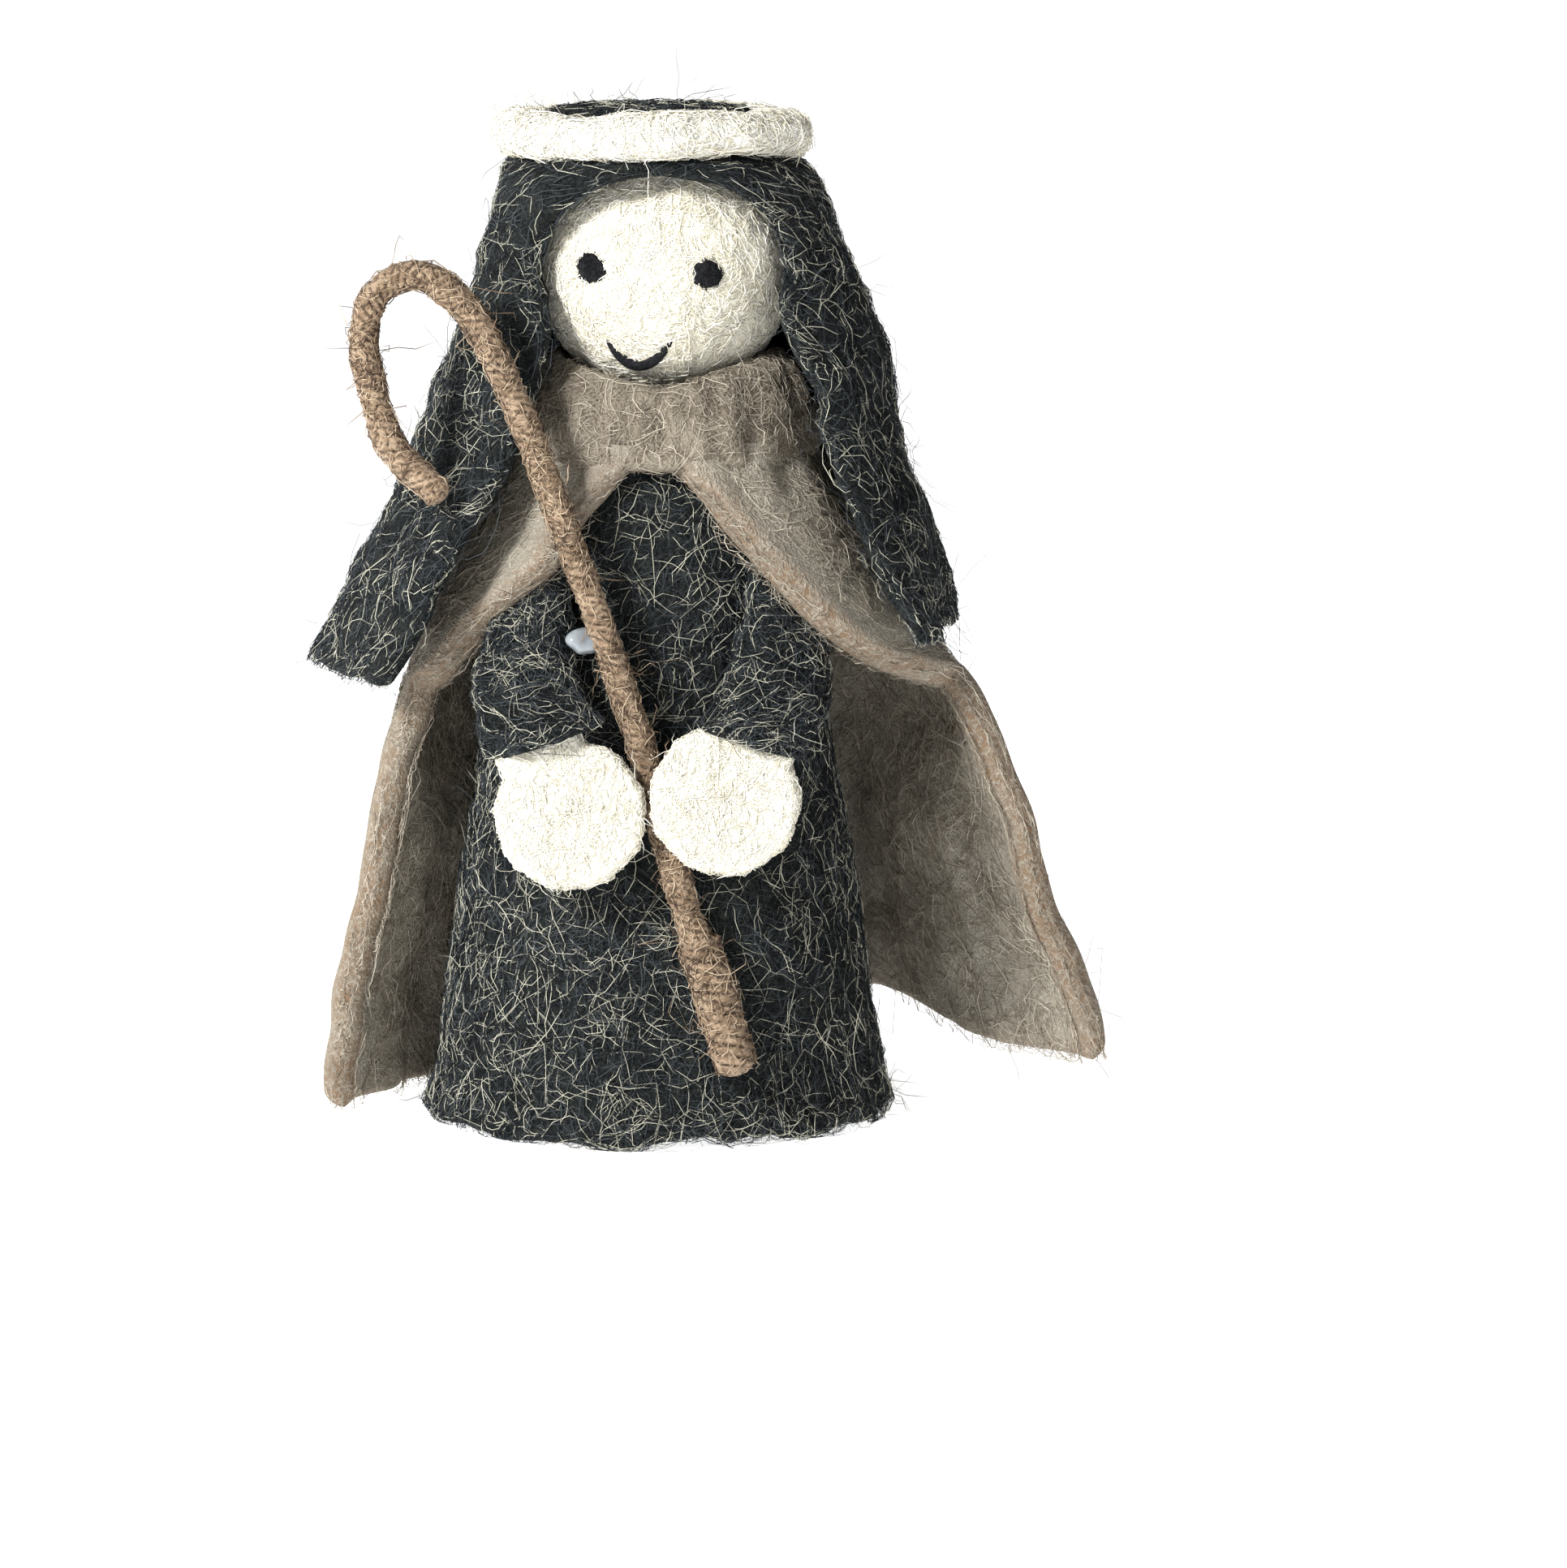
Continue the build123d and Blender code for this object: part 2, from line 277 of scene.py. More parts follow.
def strands(tree, place, spacing, width, seed):
    """Thin curly lines: where soft noise crosses its middle value. spacing and width are in mm."""
    shift = (seed * 1.7, seed * 0.9, seed * 2.3)
    shifted = add_node(tree, "VectorMath", {"operation": "ADD"}, i0=place, i1=shift)
    noise = add_node(
        tree, "TexNoise", Vector=shifted, Scale=1 / (spacing * MM), Detail=1.0, Roughness=0.4, Distortion=0.6
    )
    centred = add_node(tree, "Math", {"operation": "SUBTRACT"}, i0=noise.outputs[0], i1=0.5)
    size = add_node(tree, "Math", {"operation": "ABSOLUTE"}, i0=centred)
    return add_node(tree, "MapRange", Value=size, From_Max=width / spacing, To_Min=1.0, To_Max=0.0)


def felt(
    name, base, cloud, fibre, edge=None, spacing=1.3, width=0.11, depth=0.35, sheen=0.1, fibre_amount=0.75
):
    """Needled wool felt: a cloudy body colour, three layers of curly fibres over it, and a bump from
    the same fibres. An attribute named edge turns the colour towards the edge colour."""
    material, tree = new_material(name)
    place = add_node(tree, "TexCoord").outputs["Object"]
    clouds = add_node(tree, "TexNoise", Vector=place, Scale=1 / (7 * MM), Detail=4.0, Roughness=0.65)
    patch = add_node(tree, "MapRange", Value=clouds, From_Min=0.35, From_Max=0.68)
    colour = add_node(tree, "Mix", COLOURS, i0=patch, i6=linear(base), i7=linear(cloud)).outputs[2]
    grain = add_node(tree, "TexNoise", Vector=place, Scale=1 / (0.45 * MM), Detail=3.0, Roughness=0.7)
    if edge:
        rim = add_node(tree, "Attribute", {"attribute_name": "edge"}).outputs["Fac"]
        mottled = add_node(tree, "Math", {"operation": "MULTIPLY"}, i0=rim, i1=patch)
        soft = add_node(tree, "Math", {"operation": "MULTIPLY_ADD"}, i0=rim, i1=0.45, i2=mottled)
        soft.use_clamp = True
        colour = add_node(tree, "Mix", COLOURS, i0=soft, i6=colour, i7=linear(edge)).outputs[2]
    total = 0.0
    for k, scale in enumerate((1.0, 1.7, 0.6)):
        layer = strands(tree, place, spacing * scale, width, 3.1 * k + 1)
        total = add_node(tree, "Math", {"operation": "MAXIMUM"}, i0=total, i1=layer)
    fade = add_node(tree, "MapRange", Value=grain, From_Min=0.3, From_Max=0.62)
    shown = add_node(tree, "Math", {"operation": "MULTIPLY"}, i0=total, i1=fade)
    weak = add_node(tree, "Math", {"operation": "MULTIPLY"}, i0=shown, i1=fibre_amount)
    colour = add_node(tree, "Mix", COLOURS, i0=weak, i6=colour, i7=linear(fibre)).outputs[2]
    height = add_node(tree, "Math", {"operation": "MULTIPLY_ADD"}, i0=grain, i1=0.8, i2=shown)
    raised = add_node(tree, "Bump", Strength=0.8, Distance=depth * MM, Height=height)
    shader = add_node(
        tree, "BsdfPrincipled", Base_Color=colour, Normal=raised, Roughness=0.95, Specular_IOR_Level=0.15,
        Sheen_Weight=sheen, Sheen_Roughness=0.5, Sheen_Tint=linear(fibre),
    )
    add_node(tree, "OutputMaterial", Surface=shader)
    return material


def plain(name, colour):
    """One wool fibre's finish: matte, with no pattern, because a fibre is thinner than any pattern on it."""
    material, tree = new_material(name)
    shader = add_node(
        tree, "BsdfPrincipled", Base_Color=linear(colour), Roughness=0.75, Specular_IOR_Level=0.25
    )
    add_node(tree, "OutputMaterial", Surface=shader)
    return material


def wound_wool(name):
    """Brown wool yarn wound on wire. The attribute ridge is 1 on top of a turn of yarn and 0 in the
    hollow between two, where shade is painted in as a darker brown; the rest is mottled and crossed by pale
    hairs."""
    material, tree = new_material(name)
    place = add_node(tree, "TexCoord").outputs["Object"]
    ridge = add_node(tree, "Attribute", {"attribute_name": "ridge"}).outputs["Fac"]
    mottle = add_node(tree, "TexNoise", Vector=place, Scale=1 / (1.1 * MM), Detail=4.0, Roughness=0.7)
    tone = add_node(tree, "MapRange", Value=mottle, From_Min=0.3, From_Max=0.7)
    colour = add_node(tree, "Mix", COLOURS, i0=tone, i6=linear("#564434"), i7=linear("#8d7862")).outputs[2]
    # painted shade: the hollow between two turns of yarn is darkened towards #35291f
    painted_groove_shade = add_node(tree, "MapRange", Value=ridge, From_Min=0.15, From_Max=0.85, To_Min=1.0, To_Max=0.0)
    colour = add_node(tree, "Mix", COLOURS, i0=painted_groove_shade, i6=colour, i7=linear("#35291f")).outputs[2]
    pale = strands(tree, place, 0.9, 0.08, 5)
    weak = add_node(tree, "Math", {"operation": "MULTIPLY"}, i0=pale, i1=0.5)
    colour = add_node(tree, "Mix", COLOURS, i0=weak, i6=colour, i7=linear("#bda88e")).outputs[2]
    raised = add_node(tree, "Bump", Strength=0.7, Distance=0.15 * MM, Height=mottle.outputs[0])
    shader = add_node(
        tree, "BsdfPrincipled", Base_Color=colour, Normal=raised, Roughness=0.9, Specular_IOR_Level=0.2,
        Sheen_Weight=0.1,
    )
    add_node(tree, "OutputMaterial", Surface=shader)
    return material


# Charcoal wool felt: dark blue-grey body with paler grey hairs needled in from a mixed fleece
CHARCOAL = felt(
    "charcoal_wool_felt", "#05080a", "#101416", "#5c625d",
    spacing=1.1, width=0.09, sheen=0.0, fibre_amount=0.35,
)
# Taupe wool felt: grey-beige body, browner along the cape's cut edges where the wool is denser
TAUPE = felt(
    "taupe_wool_felt", "#857e71", "#a8a193", "#cbc4b5",
    edge="#7c6854", width=0.09, fibre_amount=0.6,
)
TAUPE_COLLAR = felt(
    "taupe_wool_collar_felt", "#7b7263", "#978e7f", "#b8ae9d",
    width=0.09, fibre_amount=0.6,
)
# Cream wool ball: wet-felted and needled, nearly white, with faint yellow shadows between fibres
CREAM = felt(
    "cream_felted_wool_ball", "#e6e2cd", "#f1edda", "#faf8ee",
    spacing=1.6, depth=0.12, sheen=0.1, fibre_amount=0.4,
)
# White roving rolled into a ring: looser and longer fibres than the ball's
ROVING = felt(
    "white_wool_roving", "#e6e3d6", "#f5f3e9", "#ffffff",
    spacing=1.5, depth=0.4, sheen=0.1, fibre_amount=0.6,
)
# White craft felt, die-cut discs: flatter and finer than the hand-felted wool
CRAFT = felt(
    "white_craft_felt", "#e3e0d1", "#efede0", "#fbfaf3",
    spacing=0.9, depth=0.14, sheen=0.1, fibre_amount=0.5,
)
# Black wool needled into the ball as eyes and mouth
BLACK = felt(
    "black_needled_wool", "#101113", "#1c1d20", "#3c3d40",
    spacing=0.5, width=0.05, depth=0.15, sheen=0.05, fibre_amount=0.5,
)
YARN = wound_wool("brown_wound_wool_yarn")

# Single fibres: the shades mixed in each fleece
GREY_FIBRES = [
    plain("charcoal_fibre", "#12171a"), plain("grey_fibre", "#454b4f"), plain("pale_grey_fibre", "#c6c4b2"),
]
TAUPE_FIBRES = [
    plain("brown_fibre", "#84786a"), plain("taupe_fibre", "#a39a8a"), plain("pale_taupe_fibre", "#cdc4b3"),
]
WHITE_FIBRES = [plain("cream_fibre", "#e2dcc8"), plain("white_fibre", "#f6f3e8")]
BLACK_FIBRES = [plain("black_fibre", "#141517")]
YARN_FIBRES = [
    plain("dark_yarn_fibre", "#4f4034"), plain("yarn_fibre", "#8d7862"), plain("pale_yarn_fibre", "#b7a48c"),
]


def brushed_wire():
    """Bright drawn steel wire, seen only where the winding ends."""
    material, tree = new_material("drawn_steel_wire")
    place = add_node(tree, "TexCoord").outputs["Object"]
    scratch = add_node(tree, "TexNoise", Vector=place, Scale=1 / (0.3 * MM), Detail=2.0)
    rough = add_node(tree, "MapRange", Value=scratch, To_Min=0.25, To_Max=0.5)
    shader = add_node(tree, "BsdfPrincipled", Base_Color=linear("#b9babb"), Metallic=1.0, Roughness=rough)
    add_node(tree, "OutputMaterial", Surface=shader)
    return material


def clear_glue():
    """Hot-melt glue: a milky, glossy, slightly see-through plastic drop with soft ripples."""
    material, tree = new_material("hot_melt_glue")
    place = add_node(tree, "TexCoord").outputs["Object"]
    ripple = add_node(tree, "TexNoise", Vector=place, Scale=1 / (1.5 * MM), Detail=1.0)
    milk = add_node(tree, "Mix", COLOURS, i0=ripple, i6=linear("#7d878f"), i7=linear("#c3c9cc")).outputs[2]
    raised = add_node(tree, "Bump", Strength=0.5, Distance=0.3 * MM, Height=ripple.outputs[0])
    shader = add_node(
        tree, "BsdfPrincipled", Base_Color=milk, Normal=raised, Roughness=0.12, IOR=1.5,
        Transmission_Weight=0.35,
    )
    add_node(tree, "OutputMaterial", Surface=shader)
    return material


# --- fibres -----------------------------------------------------------------------------------
FIBRE_POINTS = 6
FLOOR_GAP = 0.1  # mm over the table at which fibres that reach it lie
CELLS = 72  # cells each way of the grid on which a surface's area is weighed
PATCH_SIZE = 13  # mm from one thick patch of fibres to the next
LEAST_RUN = 2.0  # mm that a surface is taken to run along a parameter, at least, so that poles are left fast
LYING_PAST, FLYAWAY_PAST = 0.6, 5.0  # mm that a fibre may run past an open edge


def tapered_tubes(name, path, out, radius, materials, shade):
    """Closed three-sided tubes along paths of shape (count, points, 3), pointed at both ends. A ring's
    corners are path + radius (cos across + sin up), with across and up square to the path."""
    count, rows = path.shape[:2]
    ahead = unit(np.gradient(path, axis=1))
    across = unit(np.cross(ahead, out))
    up = np.cross(across, ahead)
    corners = [
        path + radius[:, None, None] * (math.cos(angle) * across + math.sin(angle) * up)
        for angle in (0, 2 * math.pi / 3, 4 * math.pi / 3)
    ]
    body = np.stack(corners, 2)[:, 1:-1].reshape(count, -1, 3)
    points = np.concatenate([path[:, :1], body, path[:, -1:]], axis=1)
    last = points.shape[1] - 1
    a = np.arange(3)
    b = np.roll(a, -1)
    tips = [np.stack([0 * a, 1 + b, 1 + a], -1), np.stack([0 * a + last, last - 3 + a, last - 3 + b], -1)]
    quads = [np.stack([a, b, b + 3, a + 3], -1) + 1 + 3 * row for row in range(rows - 3)]
    first = (np.arange(count) * (last + 1))[:, None, None]
    faces = [(np.concatenate(part) + first).reshape(-1, part[0].shape[1]) for part in (quads, tips)]
    shades = np.concatenate([np.repeat(shade, 3 * (rows - 3)), np.repeat(shade, 6)])
    return mesh_object(name, points.reshape(-1, 3), faces, materials, shades)


def fibres(
    name, surface, count, length, materials, weights, seed, side=1, lift=(0.0, 0.35), stray=0.08, width=0.075,
    offset=0.0, curl=0.3, region=None, closed="u", patchy=0.7,
):
    """Loose wool fibres: paths that start at random places of a surface and wander over it with a
    steady curl, drawn as tapered tubes. They start evenly by area, thinned by the share patchy in the
    gaps between soft patches. A share of them, stray, leaves the surface as flyaways. side is the face,
    along or against the surface's normal, offset the mm from the surface at which they lie, and closed
    names the parameters in which the surface meets itself; at an open edge a fibre turns back."""
    rng = np.random.default_rng(seed)
    centre = (np.arange(CELLS) + 0.5) / CELLS
    grid_u, grid_v = np.meshgrid(centre, centre)
    place, along_u, along_v = tangents(surface, grid_u, grid_v)
    weight = np.linalg.norm(np.cross(along_u, along_v), axis=-1)
    weight = weight * (1 - patchy * (1 - smooth(waves(place, PATCH_SIZE, seed), -0.9, 0.9)))
    if region is not None:
        weight = weight * region(grid_u, grid_v)
    picked = rng.choice(CELLS * CELLS, count, p=(weight / weight.sum()).ravel())
    uv = [grid.ravel()[picked] + rng.uniform(-0.5, 0.5, count) / CELLS for grid in (grid_u, grid_v)]
    heading = rng.uniform(0, 2 * np.pi, count)
    turn = rng.normal(0, curl, count)
    span = length * rng.gamma(5.0, 0.2, count)
    wild = rng.random(count) < stray
    step = np.where(wild, span * 1.35, span) / (FIBRE_POINTS - 1)
    rise = rng.uniform(*lift, count) + np.where(wild, rng.gamma(2.0, 0.85, count), 0)
    path, out = [], []
    for t in np.linspace(0, 1, FIBRE_POINTS):
        point, along_u, along_v = tangents(surface, *uv)
        normal = normals(along_u, along_v) * side
        shape = np.where(wild, t**1.7, math.sin(math.pi * t) * 0.9 + 0.1)
        path.append(point + normal * (offset + rise * shape)[:, None])
        out.append(normal)
        runs = [np.maximum(np.linalg.norm(slope, axis=-1), LEAST_RUN) for slope in (along_u, along_v)]
        uv = [uv[0] + step * np.cos(heading) / runs[0], uv[1] + step * np.sin(heading) / runs[1]]
        for axis, mirror in enumerate((np.pi, 0.0)):
            if "uv"[axis] in closed:
                uv[axis] = uv[axis] % 1.0
                continue
            room = np.where(wild, FLYAWAY_PAST, LYING_PAST) / runs[axis]
            kept = np.clip(uv[axis], -room, 1 + room)
            heading = np.where(uv[axis] == kept, heading, mirror - heading)
            uv[axis] = 2 * kept - uv[axis]
        heading = heading + turn * step + rng.normal(0, 0.3, count)
    path, out = np.stack(path, 1), np.stack(out, 1)
    path[:, 1:-1] += rng.normal(0, 0.12, path[:, 1:-1].shape)
    path[..., 2] = np.maximum(path[..., 2], FLOOR_GAP)
    radius = 0.5 * width * rng.uniform(0.6, 1.25, count) * np.where(wild, 0.75, 1)
    shade = rng.choice(len(materials), count, p=np.array(weights) / sum(weights))
    return tapered_tubes(name, path, out, radius, materials, shade)


def ride_all(body, slot, *things):
    """The things ride one body; slot is not used."""
    for thing in things:
        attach(thing, body)


# --- robe -------------------------------------------------------------------------------------
HEM_RADIUS, NECK_RADIUS, NECK_Z, DOME_TOP, ROBE_WALL = 24.2, 13.6, 65.0, 74.7, 3.0
DOME_SHARE = 0.18  # how much of v the dome takes, when the cone takes 1


def cone_radius(z):
    """The robe's outer radius at height z: a straight line from hem to neck."""
    return HEM_RADIUS + (NECK_RADIUS - HEM_RADIUS) * z / NECK_Z


def robe_outer(u, v):
    """Turned profile: a straight cone side to the neck, then a quarter ellipse to the crown.
    u goes round, v goes from the hem to the crown; the hem waves by a fraction of a mm."""
    angle = 2 * np.pi * u
    along = v * (1 + DOME_SHARE)
    over = np.clip((along - 1) / DOME_SHARE, 0, 1) * np.pi / 2
    z = np.where(along < 1, along * NECK_Z, NECK_Z + (DOME_TOP - NECK_Z) * np.sin(over))
    radius = np.where(along < 1, cone_radius(z), NECK_RADIUS * np.cos(over))
    flat = np.stack([radius * np.sin(angle), -radius * np.cos(angle), z], -1)
    push = 0.28 * waves(flat, 17, 11) + 0.10 * waves(flat, 4, 12) + 0.35 * bump(z, 0.8, 1.4)
    push = push * smooth(radius, 0, 6)
    flat[..., 0] += push * np.sin(angle)
    flat[..., 1] -= push * np.cos(angle)
    flat[..., 2] += (0.45 * waves(flat * (1, 1, 0), 13, 13) + 0.45) * (1 - smooth(z, 0, 6))
    return flat


def robe_piece():
    """Outer skin, a rounded hem, and an inner skin one wall in."""
    around, rows = 180, 110
    u = np.arange(around) / around
    v = np.linspace(0.012, 0.985, rows)
    uu, vv = np.meshgrid(u, v)
    outer, su, sv = tangents(robe_outer, uu, vv)
    out = normals(su, sv)
    turn = np.linspace(0, np.pi, 9)[1:-1][:, None, None]
    lip_centre = outer[0] - out[0] * ROBE_WALL / 2
    down = np.stack([np.zeros(around), np.zeros(around), -np.ones(around)], -1)
    lip = lip_centre + ROBE_WALL / 2 * (np.cos(turn) * out[0] + np.sin(turn) * down * 0.7)
    inner = outer - out * ROBE_WALL
    rings = np.concatenate([inner[::-4], lip[::-1], outer])
    rings[..., 2] = np.maximum(rings[..., 2], 0.0)
    return tube_mesh("robe_felt", rings, (0, 0, DOME_TOP - ROBE_WALL), (0, 0, DOME_TOP), [CHARCOAL])


robe = robe_piece()
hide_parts("robe")
robe_fuzz = [
    fibres("robe_fuzz", robe_outer, 7900, 6.5, GREY_FIBRES, (5, 3, 1.5), 21, stray=0.025),
    fibres(
        "robe_fuzz_front", robe_outer, 7000, 5.5, GREY_FIBRES, (4, 3, 2), 22, stray=0.01,
        region=lambda u, v: np.cos(2 * np.pi * u) > -0.1,
    ),
    fibres(
        "robe_hem_fuzz", robe_outer, 900, 6.0, GREY_FIBRES, (3, 4, 2), 23, stray=0.2,
        region=lambda u, v: v < 0.03,
    ),
]


SEAM_WIDTH, SEAM_HALF = 3.4, 0.45


def seam_surface(u, v):
    """A strip down the robe's back: u across its width, domed, and v up it."""
    across = (u - 0.5) * SEAM_WIDTH
    z = 2.0 + 56.0 * v
    radius = cone_radius(z) + 0.15 + 0.75 * np.sqrt(np.clip(1 - (2 * u - 1) ** 4, 0, 1))
    flat = np.stack([across + 0.3 * np.sin(z / 9.0), radius * np.cos(across / radius), z], -1)
    flat[..., 1] += 0.12 * waves(flat, 5, 14)
    return flat


robe_seam = sheet_mesh(
    "robe_back_seam_felt", seam_surface, lambda u, v: SEAM_HALF + 0 * u, np.linspace(0, 1, 15),
    np.linspace(0, 1, 90), CHARCOAL, flip=True,
)
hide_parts("robe_back_seam")
seam_fuzz = fibres(
    "robe_back_seam_fuzz", seam_surface, 500, 5.0, GREY_FIBRES, (3, 4, 2), 24, side=-1, offset=0.4, closed=""
)
ride_all("robe_body", "charcoal_felt", robe, *robe_fuzz, robe_seam, seam_fuzz)


# --- head -------------------------------------------------------------------------------------
HEAD = np.array([0.9, -0.5, 88.4])
HEAD_RADIUS = 13.1


def ball(u, v):
    """Sphere, u round the upright axis from the back and v from the bottom pole up, with soft dents."""
    around, up = 2 * np.pi * u, np.pi * (v - 0.5)
    way = np.stack([np.cos(up) * np.sin(around), -np.cos(up) * np.cos(around), np.sin(up)], -1)
    radius = HEAD_RADIUS + 0.10 * waves(way * 13, 9, 31) + 0.04 * waves(way * 13, 2.2, 32)
    return HEAD + way * radius[..., None]


def ball_piece():
    """The ball's skin, with a pole at the bottom and one at the top."""
    uu, vv = np.meshgrid(np.arange(144) / 144, np.linspace(0.01, 0.99, 84))
    up = np.array([0, 0, HEAD_RADIUS])
    return tube_mesh("head_wool_ball", ball(uu, vv), HEAD - up, HEAD + up, [CREAM])


head = ball_piece()
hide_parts("head_ball")
head_fuzz = fibres(
    "head_fuzz", ball, 6500, 5.0, WHITE_FIBRES, (2, 3), 33, lift=(-0.02, 0.12), stray=0.006, width=0.12,
    patchy=0, region=lambda u, v: (np.cos(2 * np.pi * u) > -0.2) + 0.15,
)


def on_ball(x, z, lift=0.0):
    """Points of the ball's front at x and z, lift mm out."""
    dx, dz = x - HEAD[0], z - HEAD[2]
    point = np.stack([x, HEAD[1] - np.sqrt(HEAD_RADIUS**2 - dx**2 - dz**2), z], -1)
    return point + unit(point - HEAD) * np.asarray(lift)[..., None]


EYE_REACH, EYE_SUNK, EYE_DOMED = 1.72, 0.45, 1.15  # mm: radius, depth of the rim, and rise over it


def eye_surface(x, z, seed):
    """A low dome on the ball: u goes round and v from its rim, sunk in the wool, to its top."""

    def surface(u, v):
        angle = 2 * np.pi * u
        reach = EYE_REACH * np.cos(v * np.pi / 2)
        way = np.stack([np.cos(angle), np.sin(angle), 0 * angle], -1)
        reach = reach * (1 + 0.05 * waves(way * 2, 1.6, seed))
        lift = EYE_DOMED * np.sin(v * np.pi / 2) - EYE_SUNK
        return on_ball(x + reach * np.cos(angle), z + reach * np.sin(angle) * 1.02, lift)

    return surface


eyes = []
for name, x, z, seed in (("eye_left", -6.35, 88.8, 41), ("eye_right", 5.45, 88.4, 42)):
    dome = eye_surface(x, z, seed)
    uu, vv = np.meshgrid(np.arange(40) / 40, np.linspace(0, 0.97, 12))
    centre = on_ball(np.array(x), np.array(z), -0.7)
    top = on_ball(np.array(x), np.array(z), 0.7)
    eye = tube_mesh(name + "_wool", dome(uu, vv), centre, top, [BLACK])
    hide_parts(name)
    fuzz = fibres(
        name + "_fuzz", dome, 90, 1.0, BLACK_FIBRES, (1,), seed, lift=(0, 0.05), stray=0, width=0.09,
        curl=0.5, region=lambda u, v: (v > 0.35) * 1.0,
    )
    eyes += [eye, fuzz]


def mouth_surface(u, v):
    """A roll along an arc on the ball: v along it from end to end, u round it, thin at both tips."""
    t = 2 * v - 1
    x = -1.45 + 3.35 * t
    z = 79.0 + 2.7 * np.abs(t) ** 2.1 + 0.2 * t
    spine = on_ball(x, z, 0.12 + 0 * t)
    out = unit(spine - HEAD)
    ahead = unit(np.stack([3.35 + 0 * t, 0 * t, 2.7 * 2.1 * np.sign(t) * np.abs(t) ** 1.1 + 0.2], -1))
    across = unit(np.cross(out, ahead))
    radius = 0.7 * np.clip(1 - np.abs(t) ** 3.0, 0.02, 1) ** 0.5 * (0.72 + 0.28 * np.cos(t * np.pi / 2))
    angle = 2 * np.pi * u
    section = np.cos(angle)[..., None] * across + np.sin(angle)[..., None] * out * 0.75
    return spine + radius[..., None] * section


uu, vv = np.meshgrid(np.arange(16) / 16, np.linspace(0.004, 0.996, 60))
mouth_rings = mouth_surface(uu, vv)
mouth = tube_mesh("mouth_wool", mouth_rings, mouth_rings[0].mean(0), mouth_rings[-1].mean(0), [BLACK])
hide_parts("mouth")
weld(mouth, 0.001)

RING_CENTRE = np.array([-0.4, 0.0, 102.3])
RING_RADIUS, ROLL_RADIUS = 14.2, 2.3


def ring_surface(u, v):
    """Torus of rolled roving: u round the head, v round the roll, with lumps and a slow twist."""
    a, b = 2 * np.pi * u, 2 * np.pi * v
    core = np.stack([np.sin(a), -np.cos(a), 0 * a], -1)
    roll = ROLL_RADIUS + 0.16 * np.sin(5 * a + 1) + 0.1 * np.sin(11 * a + b * 2)
    point = RING_CENTRE + core * RING_RADIUS + (roll * np.cos(b))[..., None] * core
    point[..., 2] += roll * np.sin(b) * 0.95 + 0.25 * np.sin(3 * a)
    return point + core * (0.15 * waves(point, 5, 51))[..., None]


def closed_grid(name, surface, columns, rows, material, flip=False):
    """A surface that closes on itself both ways."""
    uu, vv = np.meshgrid(np.arange(columns) / columns, np.arange(rows + 1) / rows)
    points = surface(uu, vv)[:-1]
    index = np.arange(rows * columns).reshape(rows, columns)
    right, below = np.roll(index, -1, 1), np.roll(index, -1, 0)
    quads = np.stack([index, right, np.roll(right, -1, 0), below], -1).reshape(-1, 4)
    return mesh_object(name, points.reshape(-1, 3), [quads[:, ::-1] if flip else quads], [material])


ring = closed_grid("head_ring_roving", ring_surface, 200, 28, ROVING)
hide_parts("head_ring")
ring_fuzz = fibres(
    "head_ring_fuzz", ring_surface, 3000, 5.5, WHITE_FIBRES, (2, 3), 52, lift=(-0.05, 0.25), stray=0.03,
    width=0.12, closed="uv", patchy=0,
)
ride_all("head", "cream_wool", head, head_fuzz)
ride_all("head", "black_wool", mouth, *eyes)
ride_all("head", "white_wool", ring, ring_fuzz)


# --- scarf ------------------------------------------------------------------------------------
SCARF_HALF = 1.15  # half of the felt's thickness
# Stacked ellipses of the scarf: height, middle in x, half width and half depth
SCARF_ROWS = (
    (103.7, -0.4, 11.0, 11.0), (101.6, -0.4, 11.3, 11.3), (100.2, -0.4, 12.6, 12.4), (99.3, -0.3, 14.6, 14.4),
    (97.8, 0.0, 16.5, 15.9), (92.0, 0.8, 17.8, 16.5), (81.0, 1.2, 21.8, 17.8), (73.0, 0.4, 24.3, 18.6),
    (62.5, 0.3, 28.4, 24.0), (55.0, -0.4, 30.8, 27.6), (43.0, -2.6, 35.0, 31.6),
)
# Front edge of each half, left -1 and right 1: height and x
SCARF_EDGE = {
    -1: (
        (86.4, -12.2), (80.3, -11.8), (75.0, -12.5), (69.0, -14.4), (60.0, -19.2), (51.0, -24.6), (42.5, -29.8),
    ),
    1: ((86.4, 14.3), (83.3, 13.8), (73.4, 14.6), (63.4, 18.4), (52.5, 23.9), (42.5, 24.8)),
}
# Hem: x and height
SCARF_HEM = ((-60, 46.4), (-36, 46.4), (-24, 48.0), (0, 48.0), (22, 50.4), (34, 51.5), (60, 51.5))
ARCH_X, ARCH_Z, ARCH_WIDE, ARCH_HIGH = 0.9, 86.4, 13.7, 12.2  # face opening: middle, half width and height
CROWN_V, DRAPE_V = 0.13, 0.42  # v at the crown's rim, and where the hood ends and the scarf hangs


